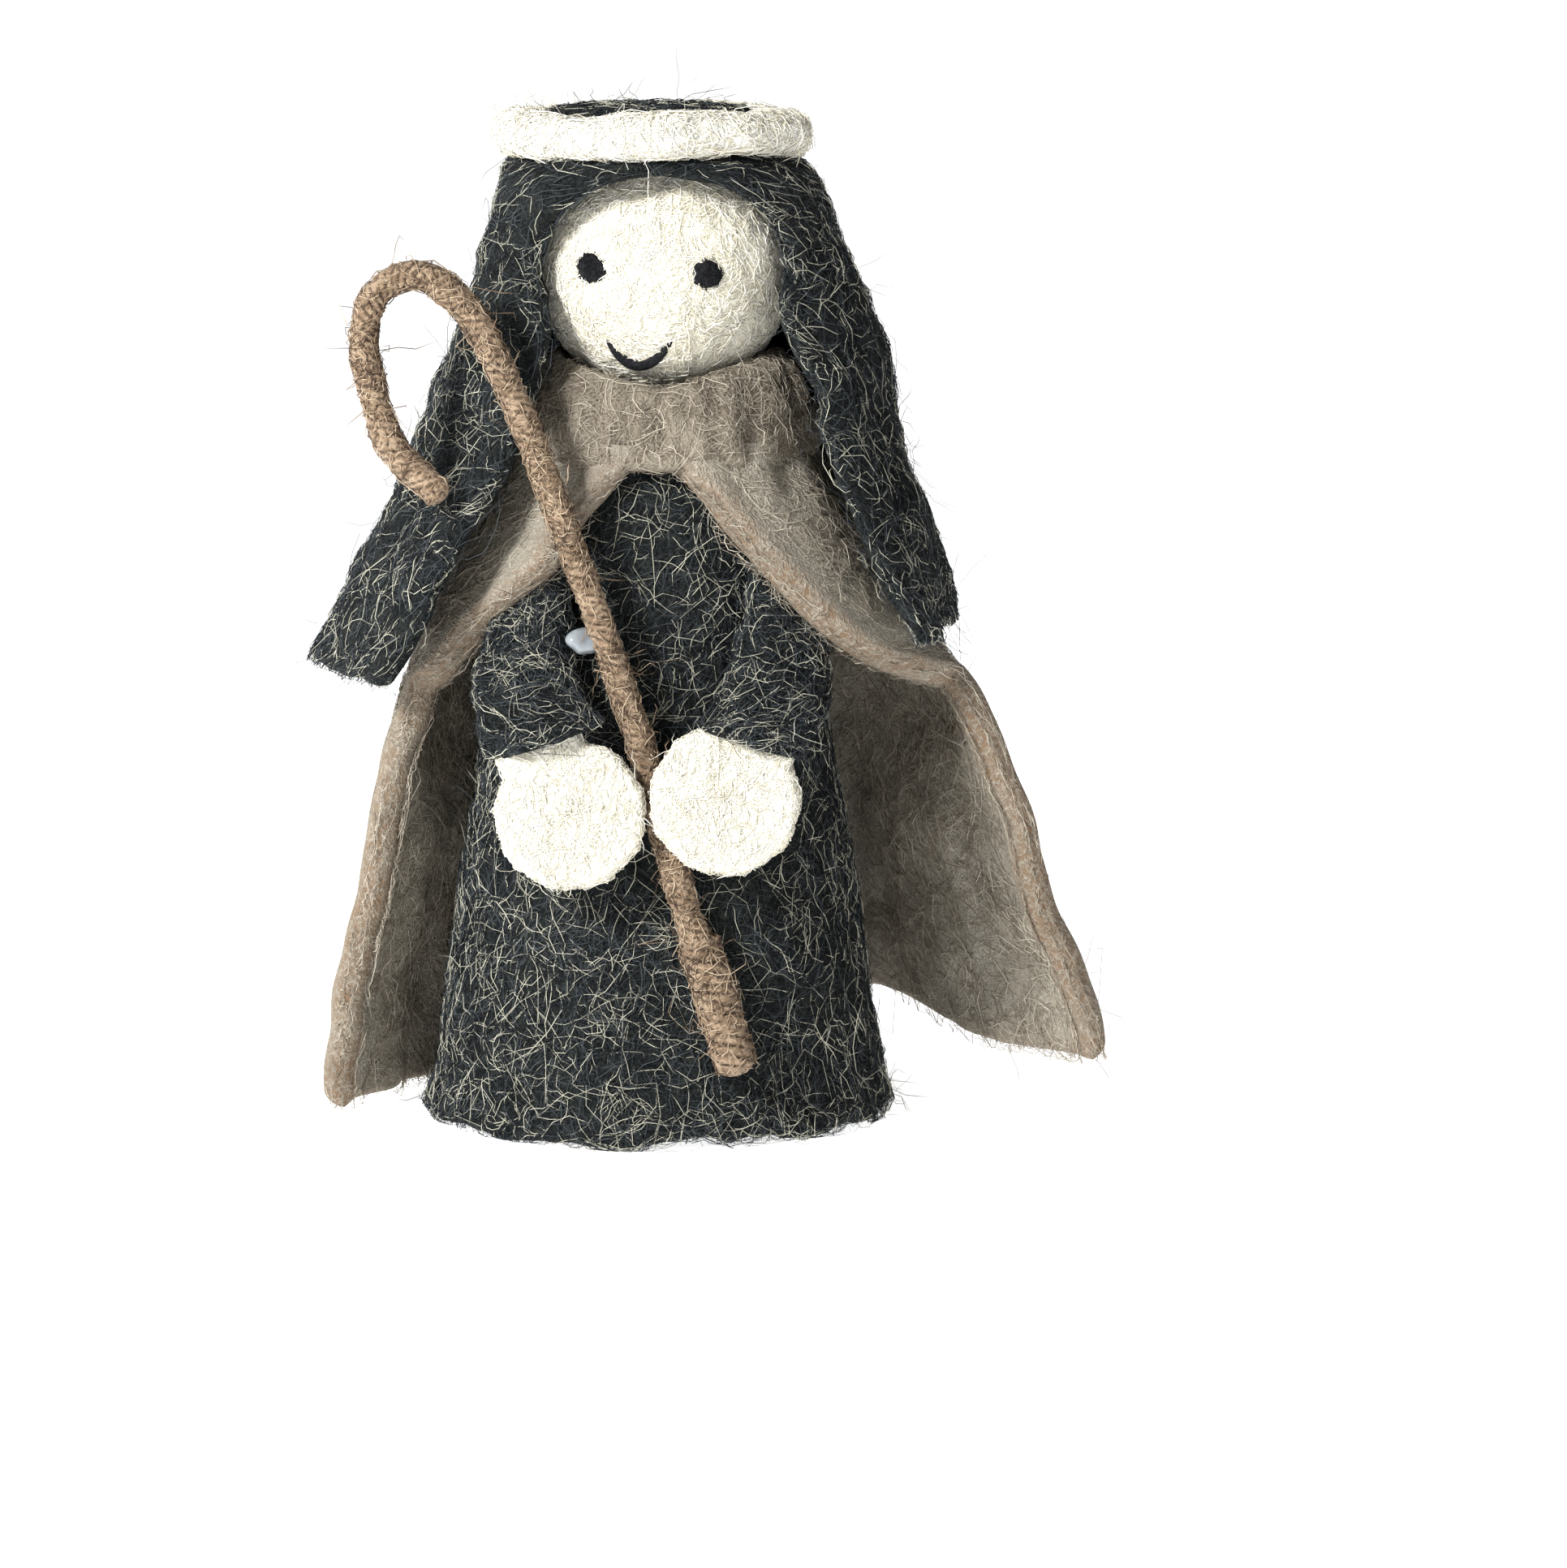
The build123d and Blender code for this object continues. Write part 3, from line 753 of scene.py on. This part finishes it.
def scarf_surface(side):
    """Middle surface of one half of the head scarf: v down from the crown to the hem over stacked
    ellipses, u round from the back to the front edge. Folds grow towards the hem."""

    def surface(u, v):
        level = np.interp(v, (0, CROWN_V, 0.19, 0.24, DRAPE_V, 1.0), (103.9, 103.6, 101.0, 98.6, ARCH_Z, 0.0))
        crown = v < CROWN_V
        down = np.clip((v - DRAPE_V) / (1 - DRAPE_V), 0, 1)
        wide = table(SCARF_ROWS, 49.0, 2)
        hem_x = side * wide * np.sin(np.pi * 0.6 * u)
        hem = np.interp(hem_x, *np.array(SCARF_HEM).T)
        z = np.where(v > DRAPE_V, ARCH_Z + (hem - ARCH_Z) * down, level)
        shrink = np.where(crown, v / CROWN_V, 1.0)
        z = np.where(crown, 103.9 - 0.5 * shrink**4, z)
        centre, a, b = (table(SCARF_ROWS, np.minimum(z, 103.4), k, 0.9) for k in (1, 2, 3))
        a, b = a - SCARF_HALF, b - SCARF_HALF
        edge_x = np.interp(z, *np.array(sorted(SCARF_EDGE[side])).T)
        reach = np.clip(np.abs(edge_x - centre) / a, 0, 0.999)
        last = np.pi - np.arcsin(reach)
        top = np.sqrt(np.clip(1 - ((z - ARCH_Z) / ARCH_HIGH) ** 2, 0, 1)) * ARCH_WIDE
        reach = np.clip((side * (ARCH_X - centre) + top) / a, 0, 0.999)
        last = np.where(z > ARCH_Z, np.pi - np.arcsin(reach), last)
        last = np.where(z > ARCH_Z + ARCH_HIGH, np.pi, last)
        angle = last * u
        away = (last - angle) * 0.5 * (a + b)
        out = np.stack([side * np.sin(angle), np.cos(angle), 0 * angle], -1)
        point = np.stack([centre + side * a * np.sin(angle) * shrink, b * np.cos(angle) * shrink, z], -1)
        loose = smooth(z, 90, 60)
        behind = smooth(np.pi * 0.62 - angle, 0, 0.6)
        fold = (0.9 * np.sin(angle * 6.0 + 0.6 * side) + 0.6) * loose * behind
        if side > 0:
            lip = 3.8 * bump(away, 0.0, 5.5)
            fold = fold + lip * smooth(z, 86, 74)
            fold = fold - 1.6 * bump(away, 0.0, 5.0) * smooth(z, 96, 88) * smooth(z, 76, 82)
        else:
            lip = 0.9 * bump(away, 0.5, 3.0) - 0.7 * bump(away, 8.0, 3.0)
            fold = fold + lip * smooth(z, 84, 72)
            fold = fold - 1.6 * bump(away, 0.0, 5.0) * smooth(z, 96, 88) * smooth(z, 74, 80)
        fold = fold + 0.22 * waves(point, 7, 61 + side) + 0.6 * waves(point, 22, 63 + side) * loose
        return point + out * (fold * smooth(shrink, 0.4, 1.0))[..., None]

    return surface


def scarf_half_thickness(side):
    """Full in the middle, and a half circle at the front edge, the face arch and the hem."""
    surface = scarf_surface(side)

    def half(u, v):
        middle, from_edge, from_hem = edge_distances(surface, u, v)
        x, z = (middle[..., 0] - ARCH_X) / ARCH_WIDE, (middle[..., 2] - ARCH_Z) / ARCH_HIGH
        from_arch = np.maximum((np.hypot(x, z) - 1) * ARCH_HIGH, 0)
        from_edge = np.where((z > 0) & (middle[..., 1] < 0), from_arch, from_edge)
        return rounded(SCARF_HALF, from_edge, from_hem)

    return half


LAP = -0.005  # both halves of a sheet run this much past the middle of the back, so that no gap shows


def clustered(count, power=1.6, first=0.0):
    """Places from first to 1 that crowd together towards 1."""
    return 1 - (1 - np.linspace(0, 1, count)) ** power * (1 - first)


def bend(thing):
    """The thing's placement is baked into its points."""
    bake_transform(thing)


for name, side in SIDES:
    surface = scarf_surface(side)
    v = np.concatenate([[0.004], np.linspace(0.02, 0.40, 56), DRAPE_V + (1 - DRAPE_V) * clustered(74, 1.5)])
    half = sheet_mesh(
        f"scarf_{name}_felt", surface, scarf_half_thickness(side), clustered(72, first=LAP), v, CHARCOAL,
        flip=side > 0,
    )
    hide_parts(f"scarf_{name}", "scarf_hood")
    fuzz = [
        fibres(
            f"scarf_{name}_fuzz", surface, 7600, 5.5, GREY_FIBRES, (5, 3, 1.5), 64 + side, side=side,
            offset=SCARF_HALF, stray=0.025, closed="",
        ),
        fibres(
            f"scarf_{name}_inner_fuzz", surface, 1500, 5.0, GREY_FIBRES, (3, 4, 1), 67 + side, side=-side,
            offset=SCARF_HALF, stray=0.0, closed="", region=lambda u, v: (v > 0.45) * 1.0,
        ),
        fibres(
            f"scarf_{name}_edge_fuzz", surface, 900, 5.0, GREY_FIBRES, (3, 4, 2), 70 + side, side=side,
            offset=0.3, stray=0.12, closed="", region=lambda u, v: ((u > 0.96) | (v > 0.985)) & (v > 0.25),
        ),
    ]
    for thing in (half, *fuzz):
        bend(thing)


# --- cape -------------------------------------------------------------------------------------
CAPE_HALF = 1.2  # half of the felt's thickness
# Stacked ellipses of the cape, its front edges and its hem, as for the scarf
CAPE_ROWS = (
    (71.0, 0.7, 15.2, 15.0), (66.0, 0.7, 17.4, 16.6), (60.0, 1.0, 21.1, 20.2), (52.0, 1.6, 25.4, 24.0),
    (45.0, 3.0, 29.5, 24.8), (35.0, 3.6, 33.1, 25.2), (15.0, 4.8, 38.3, 27.0), (-3.0, 6.5, 42.0, 29.0),
)
CAPE_EDGE = {
    -1: (
        (71.5, -0.6), (70.2, -0.7), (63.9, -7.2), (58.8, -10.0), (53.2, -17.1), (46.3, -22.4), (43.0, -31.0),
        (30.0, -60.0),
    ),
    1: (
        (71.5, 1.1), (69.6, 1.2), (65.2, 5.3), (59.4, 10.4), (53.5, 16.1), (49.5, 21.2), (45.4, 31.7),
        (40.0, 60.0),
    ),
}
CAPE_HEM = ((-60, 0.8), (-28, 0.8), (-5, 6.0), (24, 8.2), (36, 6.0), (47, 4.6), (60, 4.6))
CAPE_FRONT = {-1: 8.0, 1: 4.5}  # how far the front edges come forward below the shoulders


def cape_surface(side):
    """Middle surface of one half of the cape: v down from the collar to the hem, u round from the
    back to the front edge, which curls outwards."""

    def surface(u, v):
        hem_x = 5.0 + side * 38.0 * np.sin(np.pi * 0.56 * u)
        hem = np.interp(hem_x, *np.array(CAPE_HEM).T) + 0.35
        z = 71.0 + (hem - 71.0) * v
        centre, a, b = (table(CAPE_ROWS, z, k) for k in (1, 2, 3))
        a, b = a - CAPE_HALF, b - CAPE_HALF
        edge_x = table(CAPE_EDGE[side], z, 1, 0.8)
        by_x = np.pi - np.arcsin(np.clip(side * (edge_x - centre) / a, -0.99, 0.9999))
        by_y = np.pi / 2 + np.arcsin(CAPE_FRONT[side] / b)
        soft = 0.06  # radians over which one limit takes over from the other
        last = 0.5 * (by_x + by_y + np.sqrt((by_x - by_y) ** 2 + soft**2))
        angle = last * u
        away = (last - angle) * 0.5 * (a + b)
        point = np.stack([centre + side * a * np.sin(angle), b * np.cos(angle), z], -1)
        out = np.stack([side * np.sin(angle), np.cos(angle), 0 * angle], -1)
        low = smooth(z, 50, 20)
        curl = (0.6 if side < 0 else 1.2) * bump(away, 0, 4.5) * smooth(z, 50, 38)
        flatten = 6.0 if side < 0 else 7.5
        curl = curl - flatten * smooth(away, 1.5, 14) * smooth(angle, 0.45, 1.2) * smooth(z, 44, 26)
        fold = 1.1 * np.sin(angle * 5.0 + 0.9) * low * smooth(1.9 - angle, 0, 0.7)
        fold = fold + 0.12 * waves(point, 8, 81 + side) + 0.35 * waves(point, 26, 83 + side) * low
        gather = 0.45 * np.sin(angle * 16) * smooth(z, 60, 71) * smooth(angle, 1.5, 2.4)
        return point + out * (fold + curl + gather)[..., None]

    return surface


def cape_half_thickness(side):
    """A plump lip along the front edge, and a half circle at the edge and hem."""
    surface = cape_surface(side)

    def half(u, v):
        _, from_edge, from_hem = edge_distances(surface, u, v)
        return rounded(CAPE_HALF * (1 + 0.45 * bump(from_edge, 2.0, 2.0)), from_edge, from_hem)

    return half


def cape_edge_tone(side):
    """1 along the front edge and hem, 0 in the middle: where the cape is browner."""
    surface = cape_surface(side)

    def tone(u, v):
        _, from_edge, from_hem = edge_distances(surface, u, v)
        return np.clip(bump(from_edge, 0, 2.6) + 0.5 * bump(from_hem, 0, 2.0), 0, 1)

    return tone


for name, side in SIDES:
    surface = cape_surface(side)
    half = sheet_mesh(
        f"cape_{name}_felt", surface, cape_half_thickness(side), clustered(80, first=LAP),
        clustered(110, 1.3), TAUPE, flip=side > 0, values={"edge": cape_edge_tone(side)},
    )
    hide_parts(f"cape_{name}", "cape_back")
    fuzz = [
        fibres(
            f"cape_{name}_fuzz", surface, 5200, 6.0, TAUPE_FIBRES, (3, 4, 3), 85 + side, side=side,
            offset=CAPE_HALF, stray=0.02, closed="",
        ),
        fibres(
            f"cape_{name}_inner_fuzz", surface, 3800, 5.5, TAUPE_FIBRES, (3, 4, 3), 88 + side, side=-side,
            offset=CAPE_HALF, stray=0.01, closed="", region=lambda u, v: (u > 0.35) & (v > 0.1),
        ),
        fibres(
            f"cape_{name}_edge_fuzz", surface, 900, 4.0, TAUPE_FIBRES, (3, 4, 2), 91 + side, side=side,
            offset=0.3, stray=0.12, closed="", region=lambda u, v: (u > 0.96) | (v > 0.985),
        ),
    ]
    for thing in (half, *fuzz):
        bend(thing)


def collar_surface(u, v):
    """A closed band that hugs the ball's underside: v round its oval section, u round the neck.
    It dips at the front, where both ends of the cape are drawn together in small gathers."""
    a, b = 2 * np.pi * u, 2 * np.pi * v
    front = (0.5 + 0.5 * np.cos(a)) ** 2
    sideways = np.abs(np.sin(a))
    top_r, top_z = 10.6 + 0.8 * front, 77.2 + 2.6 * sideways - 0.6 * front
    low_r, low_z = 15.6 - 0.2 * front, 70.2 - 1.6 * front
    long_r, long_z = 0.5 * (low_r - top_r), 0.5 * (low_z - top_z)
    size = np.hypot(long_r, long_z)
    thick = 1.9 + 0.25 * np.sin(6 * a)
    r = 0.5 * (top_r + low_r) + np.cos(b) * long_r - np.sin(b) * thick * long_z / size
    z = 0.5 * (top_z + low_z) + np.cos(b) * long_z + np.sin(b) * thick * long_r / size
    way = np.stack([np.sin(a), -np.cos(a), 0 * a], -1)
    gathers = 0.35 * front**6 * np.sin(a * 30)
    cleft = 0.9 * bump(a - 2 * np.pi * (a > np.pi), 0.02, 0.05)
    r = r + (gathers - cleft) * np.clip(np.sin(b), 0, 1)
    point = np.array([0.7, 0, 0]) + way * r[..., None]
    point[..., 2] = z
    return point + way * (0.25 * waves(point, 5, 95))[..., None]


collar = closed_grid("cape_collar_felt", collar_surface, 200, 30, TAUPE_COLLAR, flip=True)
weld(collar, 0.001)
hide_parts("cape_collar")
collar_fuzz = fibres(
    "cape_collar_fuzz", collar_surface, 3600, 5.0, TAUPE_FIBRES, (3, 4, 2), 96, stray=0.02, lift=(0, 0.4),
    closed="uv", region=lambda u, v: (v < 0.5) * 1.0,
)
ride_all("robe_body", "taupe_felt", collar, collar_fuzz)


# --- arms -------------------------------------------------------------------------------------
# Along each sleeve from the shoulder: height, half span between the arms, y, half width, half depth, turn
SLEEVE_ROWS = (
    (59.2, 11.4, -11.4, 2.4, 1.3, 42.0), (56.0, 12.0, -12.6, 3.4, 1.9, 40.0),
    (51.0, 13.2, -15.2, 4.6, 3.0, 26.0), (47.0, 13.2, -18.2, 5.4, 3.8, 14.0),
    (44.0, 11.6, -21.2, 5.6, 4.0, 5.0), (42.0, 10.4, -22.9, 5.5, 3.9, 0.0),
)
CUFF_SLANT = 19.0  # degrees
HAND_RADIUS, HAND_HALF, HAND_TILT = 7.45, 1.3, 10.0  # mm, mm and degrees
HAND_EDGE = 0.75  # radius of the disc's rim
EDGE_FROM, EDGE_TO = 0.42, 0.58  # the v between which the disc's rim is rounded
TAB_INNER, TAB_OUTER, TAB_ENDS = 3.4, 5.1, {-1: 7.8, 1: 7.5}  # the wrist tab's half widths and reach
HANDS = {-1: (-8.3, -24.9, 34.8), 1: (7.3, -24.9, 36.3)}


def sleeve_surface(side):
    """Stacked ovals from the shoulder (v = 0) to the cuff (v = 1), each leant over as the cuff slants."""
    rows = np.array(SLEEVE_ROWS)
    middle = np.interp(rows[:, 0], (42.6, 48.3, 59.0), (-0.5, -0.2, 0.4))

    def surface(u, v):
        t = np.clip(v, 0, 1) * (len(rows) - 1)

        def read(column):
            """The column's value at t, averaged over one row so that its corners are soft."""
            shifts = (-0.5, -0.25, 0, 0.25, 0.5)
            return sum(np.interp(t + shift, np.arange(len(rows)), column) for shift in shifts) / len(shifts)

        z, span, y, wide, deep, turn = (read(rows[:, k]) for k in range(6))
        lean = side * np.radians(CUFF_SLANT) * (0.3 + 0.7 * v**2)
        turn = side * np.radians(turn)
        angle = 2 * np.pi * u
        x1, y1 = wide * np.cos(angle), deep * np.sin(angle)
        x2, y2 = x1 * np.cos(turn) - y1 * np.sin(turn), x1 * np.sin(turn) + y1 * np.cos(turn)
        point = np.stack([read(middle) + side * span + x2 * np.cos(lean), y + y2, z - x2 * np.sin(lean)], -1)
        out = unit(np.stack([x2, y2, 0 * x2], -1))
        return point + out * (0.22 * waves(point, 4.5, 101 + side) + 0.45 * bump(v, 1.0, 0.12))[..., None]

    return surface


def disc_surface(side):
    """Cut felt disc with a wrist tab: u round the outline, v from its back's centre over the rim to
    its front's centre. The outline is the farther of a circle and the tab's rectangle."""

    def surface(u, v):
        angle = 2 * np.pi * u
        local = angle + side * np.radians(CUFF_SLANT)
        dx, dy = np.cos(local), np.sin(local)
        tab_half = np.where(side * dx < 0, TAB_INNER, TAB_OUTER)
        tab_rim = np.minimum(tab_half / np.maximum(np.abs(dx), 1e-6), TAB_ENDS[side] / np.maximum(dy, 1e-6))
        rim = np.maximum(HAND_RADIUS, np.where((dy > 0) & (tab_rim * dy > 5.0), tab_rim, 0))
        rim = rim + 0.10 * np.sin(angle * 9 + side) + 0.06 * np.sin(angle * 23)
        turn = np.clip((v - EDGE_FROM) / (EDGE_TO - EDGE_FROM), 0, 1) * np.pi
        flat = np.where(v < EDGE_FROM, v / EDGE_FROM, np.where(v > EDGE_TO, (1 - v) / EDGE_FROM, 1.0))
        reach = (rim - HAND_EDGE) * flat + HAND_EDGE * np.sin(turn)
        x, y = reach * np.cos(angle), reach * np.sin(angle)
        depth = -HAND_HALF * np.cos(turn)
        tilt = np.radians(90 - HAND_TILT)
        point = np.stack(
            [x, y * np.cos(tilt) - depth * np.sin(tilt), y * np.sin(tilt) + depth * np.cos(tilt)], -1
        )
        bow = 0.12 * waves(point, 6, 111 + side)
        return np.array(HANDS[side]) + point + np.stack([0 * bow, bow, 0 * bow], -1)

    return surface


for name, side in SIDES:
    bell = sleeve_surface(side)
    uu, vv = np.meshgrid(np.arange(64) / 64, np.linspace(0, 1, 60))
    rings = bell(uu, vv)
    shoulder, cuff = rings[0].mean(0) + (0, 0, 0.8), rings[-1].mean(0)
    inset = [
        cuff + (rings[-1] - cuff) * share + np.array([0, 0, lift])
        for share, lift in ((0.93, -0.45), (0.82, -0.1), (0.5, 0.6))
    ]
    rings = np.concatenate([rings, inset])
    sleeve = tube_mesh(f"sleeve_{name}_felt", rings, shoulder, cuff + (0, 0, 0.8), [CHARCOAL], flip=True)
    weld(sleeve, 0.001)
    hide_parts(f"sleeve_{name}")
    sleeve_fuzz = fibres(
        f"sleeve_{name}_fuzz", bell, 2600, 5.0, GREY_FIBRES, (4, 3, 1.5), 103 + side, side=-1, stray=0.03
    )
    disc = disc_surface(side)
    back, front = np.linspace(0.03, EDGE_FROM, 9), np.linspace(EDGE_TO, 0.97, 14)
    v = np.concatenate([back, np.linspace(0.44, 0.56, 7), front])
    uu, vv = np.meshgrid(np.arange(120) / 120, v)
    rings = disc(uu, vv)
    hand = tube_mesh(f"hand_{name}_felt", rings, rings[0].mean(0), rings[-1].mean(0), [CRAFT])
    weld(hand, 0.001)
    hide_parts(f"hand_{name}")
    hand_fuzz = fibres(
        f"hand_{name}_fuzz", disc, 1900, 3.2, WHITE_FIBRES, (2, 3), 113 + side, lift=(-0.03, 0.12),
        stray=0.02, width=0.11, patchy=0, region=lambda u, v: (v > 0.45) * 1.0,
    )
    ride_all(f"arm_{name}", "charcoal_felt", sleeve, sleeve_fuzz)
    ride_all(f"arm_{name}", "white_felt", hand, hand_fuzz)


# --- crook ------------------------------------------------------------------------------------
# The crook's route from its foot over the top to the end of the hook: x and height
CROOK_ROUTE = np.array((
    (8.4, 8.8), (5.7, 17.9), (2.5, 27.2), (-0.8, 39.8), (-4.8, 52.0), (-8.7, 62.5), (-12.5, 72.7),
    (-16.2, 80.9), (-19.3, 85.8), (-23.3, 88.6), (-27.4, 87.2), (-29.1, 82.9), (-28.2, 76.9), (-26.3, 71.3),
    (-21.7, 66.8),
))
CROOK_Y_AT_FOOT, CROOK_LEAN = -24.0, 0.088
CROOK_RADIUS, FOOT_RADIUS, FOOT_TOP = 1.36, 1.97, 21.0
YARN_PITCH, YARN_ENDS = 0.85, 5  # mm from ridge to ridge, and how many ends are wound on together


def crook_line():
    """The wire's middle line: a Catmull-Rom curve through the route, evenly resampled and softened."""
    x, z = CROOK_ROUTE.T
    knots = np.stack([x, CROOK_Y_AT_FOOT + CROOK_LEAN * (z - z[0]), z], -1)
    knots = np.concatenate([[2 * knots[0] - knots[1]], knots, [2 * knots[-1] - knots[-2]]])
    t = np.linspace(0, 1, 40, endpoint=False)[:, None]
    runs = []
    for a, b, c, d in zip(knots, knots[1:], knots[2:], knots[3:]):
        cubic = (3 * b - a - 3 * c + d) * t**3
        runs.append(0.5 * (2 * b + (c - a) * t + (2 * a - 5 * b + 4 * c - d) * t**2 + cubic))
    line = np.concatenate([*runs, knots[-2:-1]])
    along = np.concatenate([[0], np.cumsum(np.linalg.norm(np.diff(line, axis=0), axis=1))])
    even = np.linspace(0, along[-1], 1000)
    line = np.stack([np.interp(even, along, line[:, k]) for k in range(3)], -1)
    kernel = bump(np.arange(-20, 21), 0, 10)
    padded = np.concatenate([2 * line[:1] - line[20:0:-1], line, 2 * line[-1:] - line[-2:-22:-1]])
    line = np.stack([np.convolve(padded[:, k], kernel / kernel.sum(), "valid") for k in range(3)], -1)
    return line, even


CROOK_LINE, CROOK_ALONG = crook_line()
CROOK_AHEAD = unit(np.gradient(CROOK_LINE, axis=0))
LEAN_ACROSS = unit(np.array([0.0, -1.0, CROOK_LEAN]))  # square to the plane the crook lies in


def wound(line, along, ahead, radius, pitch, depth, seed):
    """Yarn wound round a line: v along it, u round it; the radius has a round ridge for each turn."""
    length = along[-1] - along[0]

    def ridges(u, s):
        turn = s / pitch - YARN_ENDS * u + 0.12 * np.sin(s * 0.9) + 0.08 * np.sin(s * 2.3)
        return np.abs(np.sin(np.pi * turn)) ** 0.7

    def surface(u, v):
        s = along[0] + length * v
        spine, way = (
            np.stack([np.interp(s, along, part[:, k]) for k in range(3)], -1) for part in (line, ahead)
        )
        way = unit(way)
        front = unit(LEAN_ACROSS - way * (way @ LEAN_ACROSS)[..., None])
        flank = np.cross(way, front)
        angle = 2 * np.pi * u
        ridge = ridges(u, s)
        size = radius + depth * (ridge - 0.5) + 0.07 * waves(spine, 4, seed)
        return spine + size[..., None] * (np.cos(angle)[..., None] * flank + np.sin(angle)[..., None] * front)

    surface.ridge = lambda u, v: ridges(u, along[0] + length * v)
    return surface


def wound_piece(name, surface, rows, ahead):
    """A winding's skin, with a rounded cap of two smaller rings and a pole at each end."""
    uu, vv = np.meshgrid(np.arange(36) / 36, np.linspace(0, 1, rows))
    rings = surface(uu, vv)
    start, end = rings[0].mean(0), rings[-1].mean(0)
    caps = [(0.85, 0.45), (0.5, 0.85)]
    lower = [start + (rings[0] - start) * share - ahead[0] * out for share, out in caps[::-1]]
    upper = [end + (rings[-1] - end) * share + ahead[-1] * out for share, out in caps]
    ridge = surface.ridge(uu, vv)
    ridge = np.concatenate([ridge[:1], ridge[:1], ridge, ridge[-1:], ridge[-1:]])
    rings = np.concatenate([lower, rings, upper])
    tips = start - ahead[0], end + ahead[-1]
    return tube_mesh(name, rings, *tips, [YARN], values={"ridge": ridge}, flip=True)


wrap_surface = wound(CROOK_LINE, CROOK_ALONG, CROOK_AHEAD, CROOK_RADIUS, YARN_PITCH, 0.22, 121)
wrap = wound_piece("crook_wool_winding", wrap_surface, 900, CROOK_AHEAD)
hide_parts("crook_wrap")
foot = CROOK_LINE[:, 2] < FOOT_TOP
foot_surface = wound(CROOK_LINE[foot], CROOK_ALONG[foot], CROOK_AHEAD[foot], FOOT_RADIUS, 1.1, 0.34, 122)
foot_wrap = wound_piece("crook_foot_winding", foot_surface, 130, CROOK_AHEAD[foot])
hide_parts("crook_foot_wrap")
crook_fuzz = fibres(
    "crook_fuzz", wrap_surface, 2600, 3.4, YARN_FIBRES, (2, 3, 2), 123, side=-1, lift=(0, 0.15), stray=0.06,
    width=0.12,
)
foot_fuzz = fibres(
    "crook_foot_fuzz", foot_surface, 500, 4.0, YARN_FIBRES, (2, 3, 2), 124, side=-1, lift=(0, 0.2),
    stray=0.05, width=0.12,
)
ride_all("robe_body", "brown_wool", wrap, foot_wrap, crook_fuzz, foot_fuzz)

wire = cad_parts["crook_wire"]
wire.data.materials.clear()
wire.data.materials.append(brushed_wire())


def glue_surface(u, v):
    """A drop of glue: a ball drawn out sideways towards the robe, with soft lobes."""
    around, up = 2 * np.pi * u, np.pi * (v - 0.5)
    way = np.stack([np.cos(up) * np.sin(around), -np.cos(up) * np.cos(around), np.sin(up)], -1)
    size = 1 + 0.18 * waves(way, 1.6, 131)
    return np.array([-7.0, -18.0, 51.4]) + way * size[..., None] * (1.5, 2.3, 1.5)


uu, vv = np.meshgrid(np.arange(40) / 40, np.linspace(0.03, 0.97, 24))
drop = glue_surface(uu, vv)
glue = tube_mesh("glue_drop", drop, drop[0].mean(0), drop[-1].mean(0), [clear_glue()])
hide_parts("glue_spot")
ride_all("robe_body", "hot_glue", glue)


# --- studio -----------------------------------------------------------------------------------
SKY_LIGHT = 0.2


def studio():
    """White floor and surround, a key light from the front left, a weak fill and a rim light from behind."""
    scene = bpy.context.scene
    scene.view_settings.view_transform = "Standard"
    world = bpy.data.worlds.new("studio")
    world.use_nodes = True
    tree = world.node_tree
    seen = add_node(tree, "LightPath").outputs["Is Camera Ray"]
    strength = add_node(tree, "MapRange", Value=seen, To_Min=SKY_LIGHT, To_Max=1.05)
    tree.nodes["Background"].inputs["Color"].default_value = (1, 1, 1, 1)
    tree.links.new(strength.outputs[0], tree.nodes["Background"].inputs["Strength"])
    scene.world = world
    size = 20000.0
    points = [(-size, -size, -0.01), (size, -size, -0.01), (size, size, -0.01), (-size, size, -0.01)]
    material, tree = new_material("white_table")
    shader = add_node(
        tree, "BsdfPrincipled", Base_Color=linear("#fcfcfc"), Roughness=0.9, Emission_Color=(1, 1, 1, 1),
        Emission_Strength=0.9,
    )
    add_node(tree, "OutputMaterial", Surface=shader)
    mesh_object("studio_floor", np.array(points), [np.array([[0, 1, 2, 3]])], [material])
    for name, place, aim, power, extent in (
        ("key_light", (-330, -400, 330), (0, 0, 50), 5.3, 0.11),
        ("fill_light", (330, -560, 160), (10, 0, 35), 0.35, 0.35),
        ("rim_light", (-350, 250, 350), (0, 0, 60), 1.0, 0.25),
    ):
        lamp = bpy.data.lights.new(name, "AREA")
        lamp.energy, lamp.size = power, extent
        thing = bpy.data.objects.new(name, lamp)
        thing.location = Vector(place) * MM
        thing.rotation_euler = (Vector(aim) - Vector(place)).to_track_quat("-Z", "Y").to_euler()
        scene.collection.objects.link(thing)


studio()
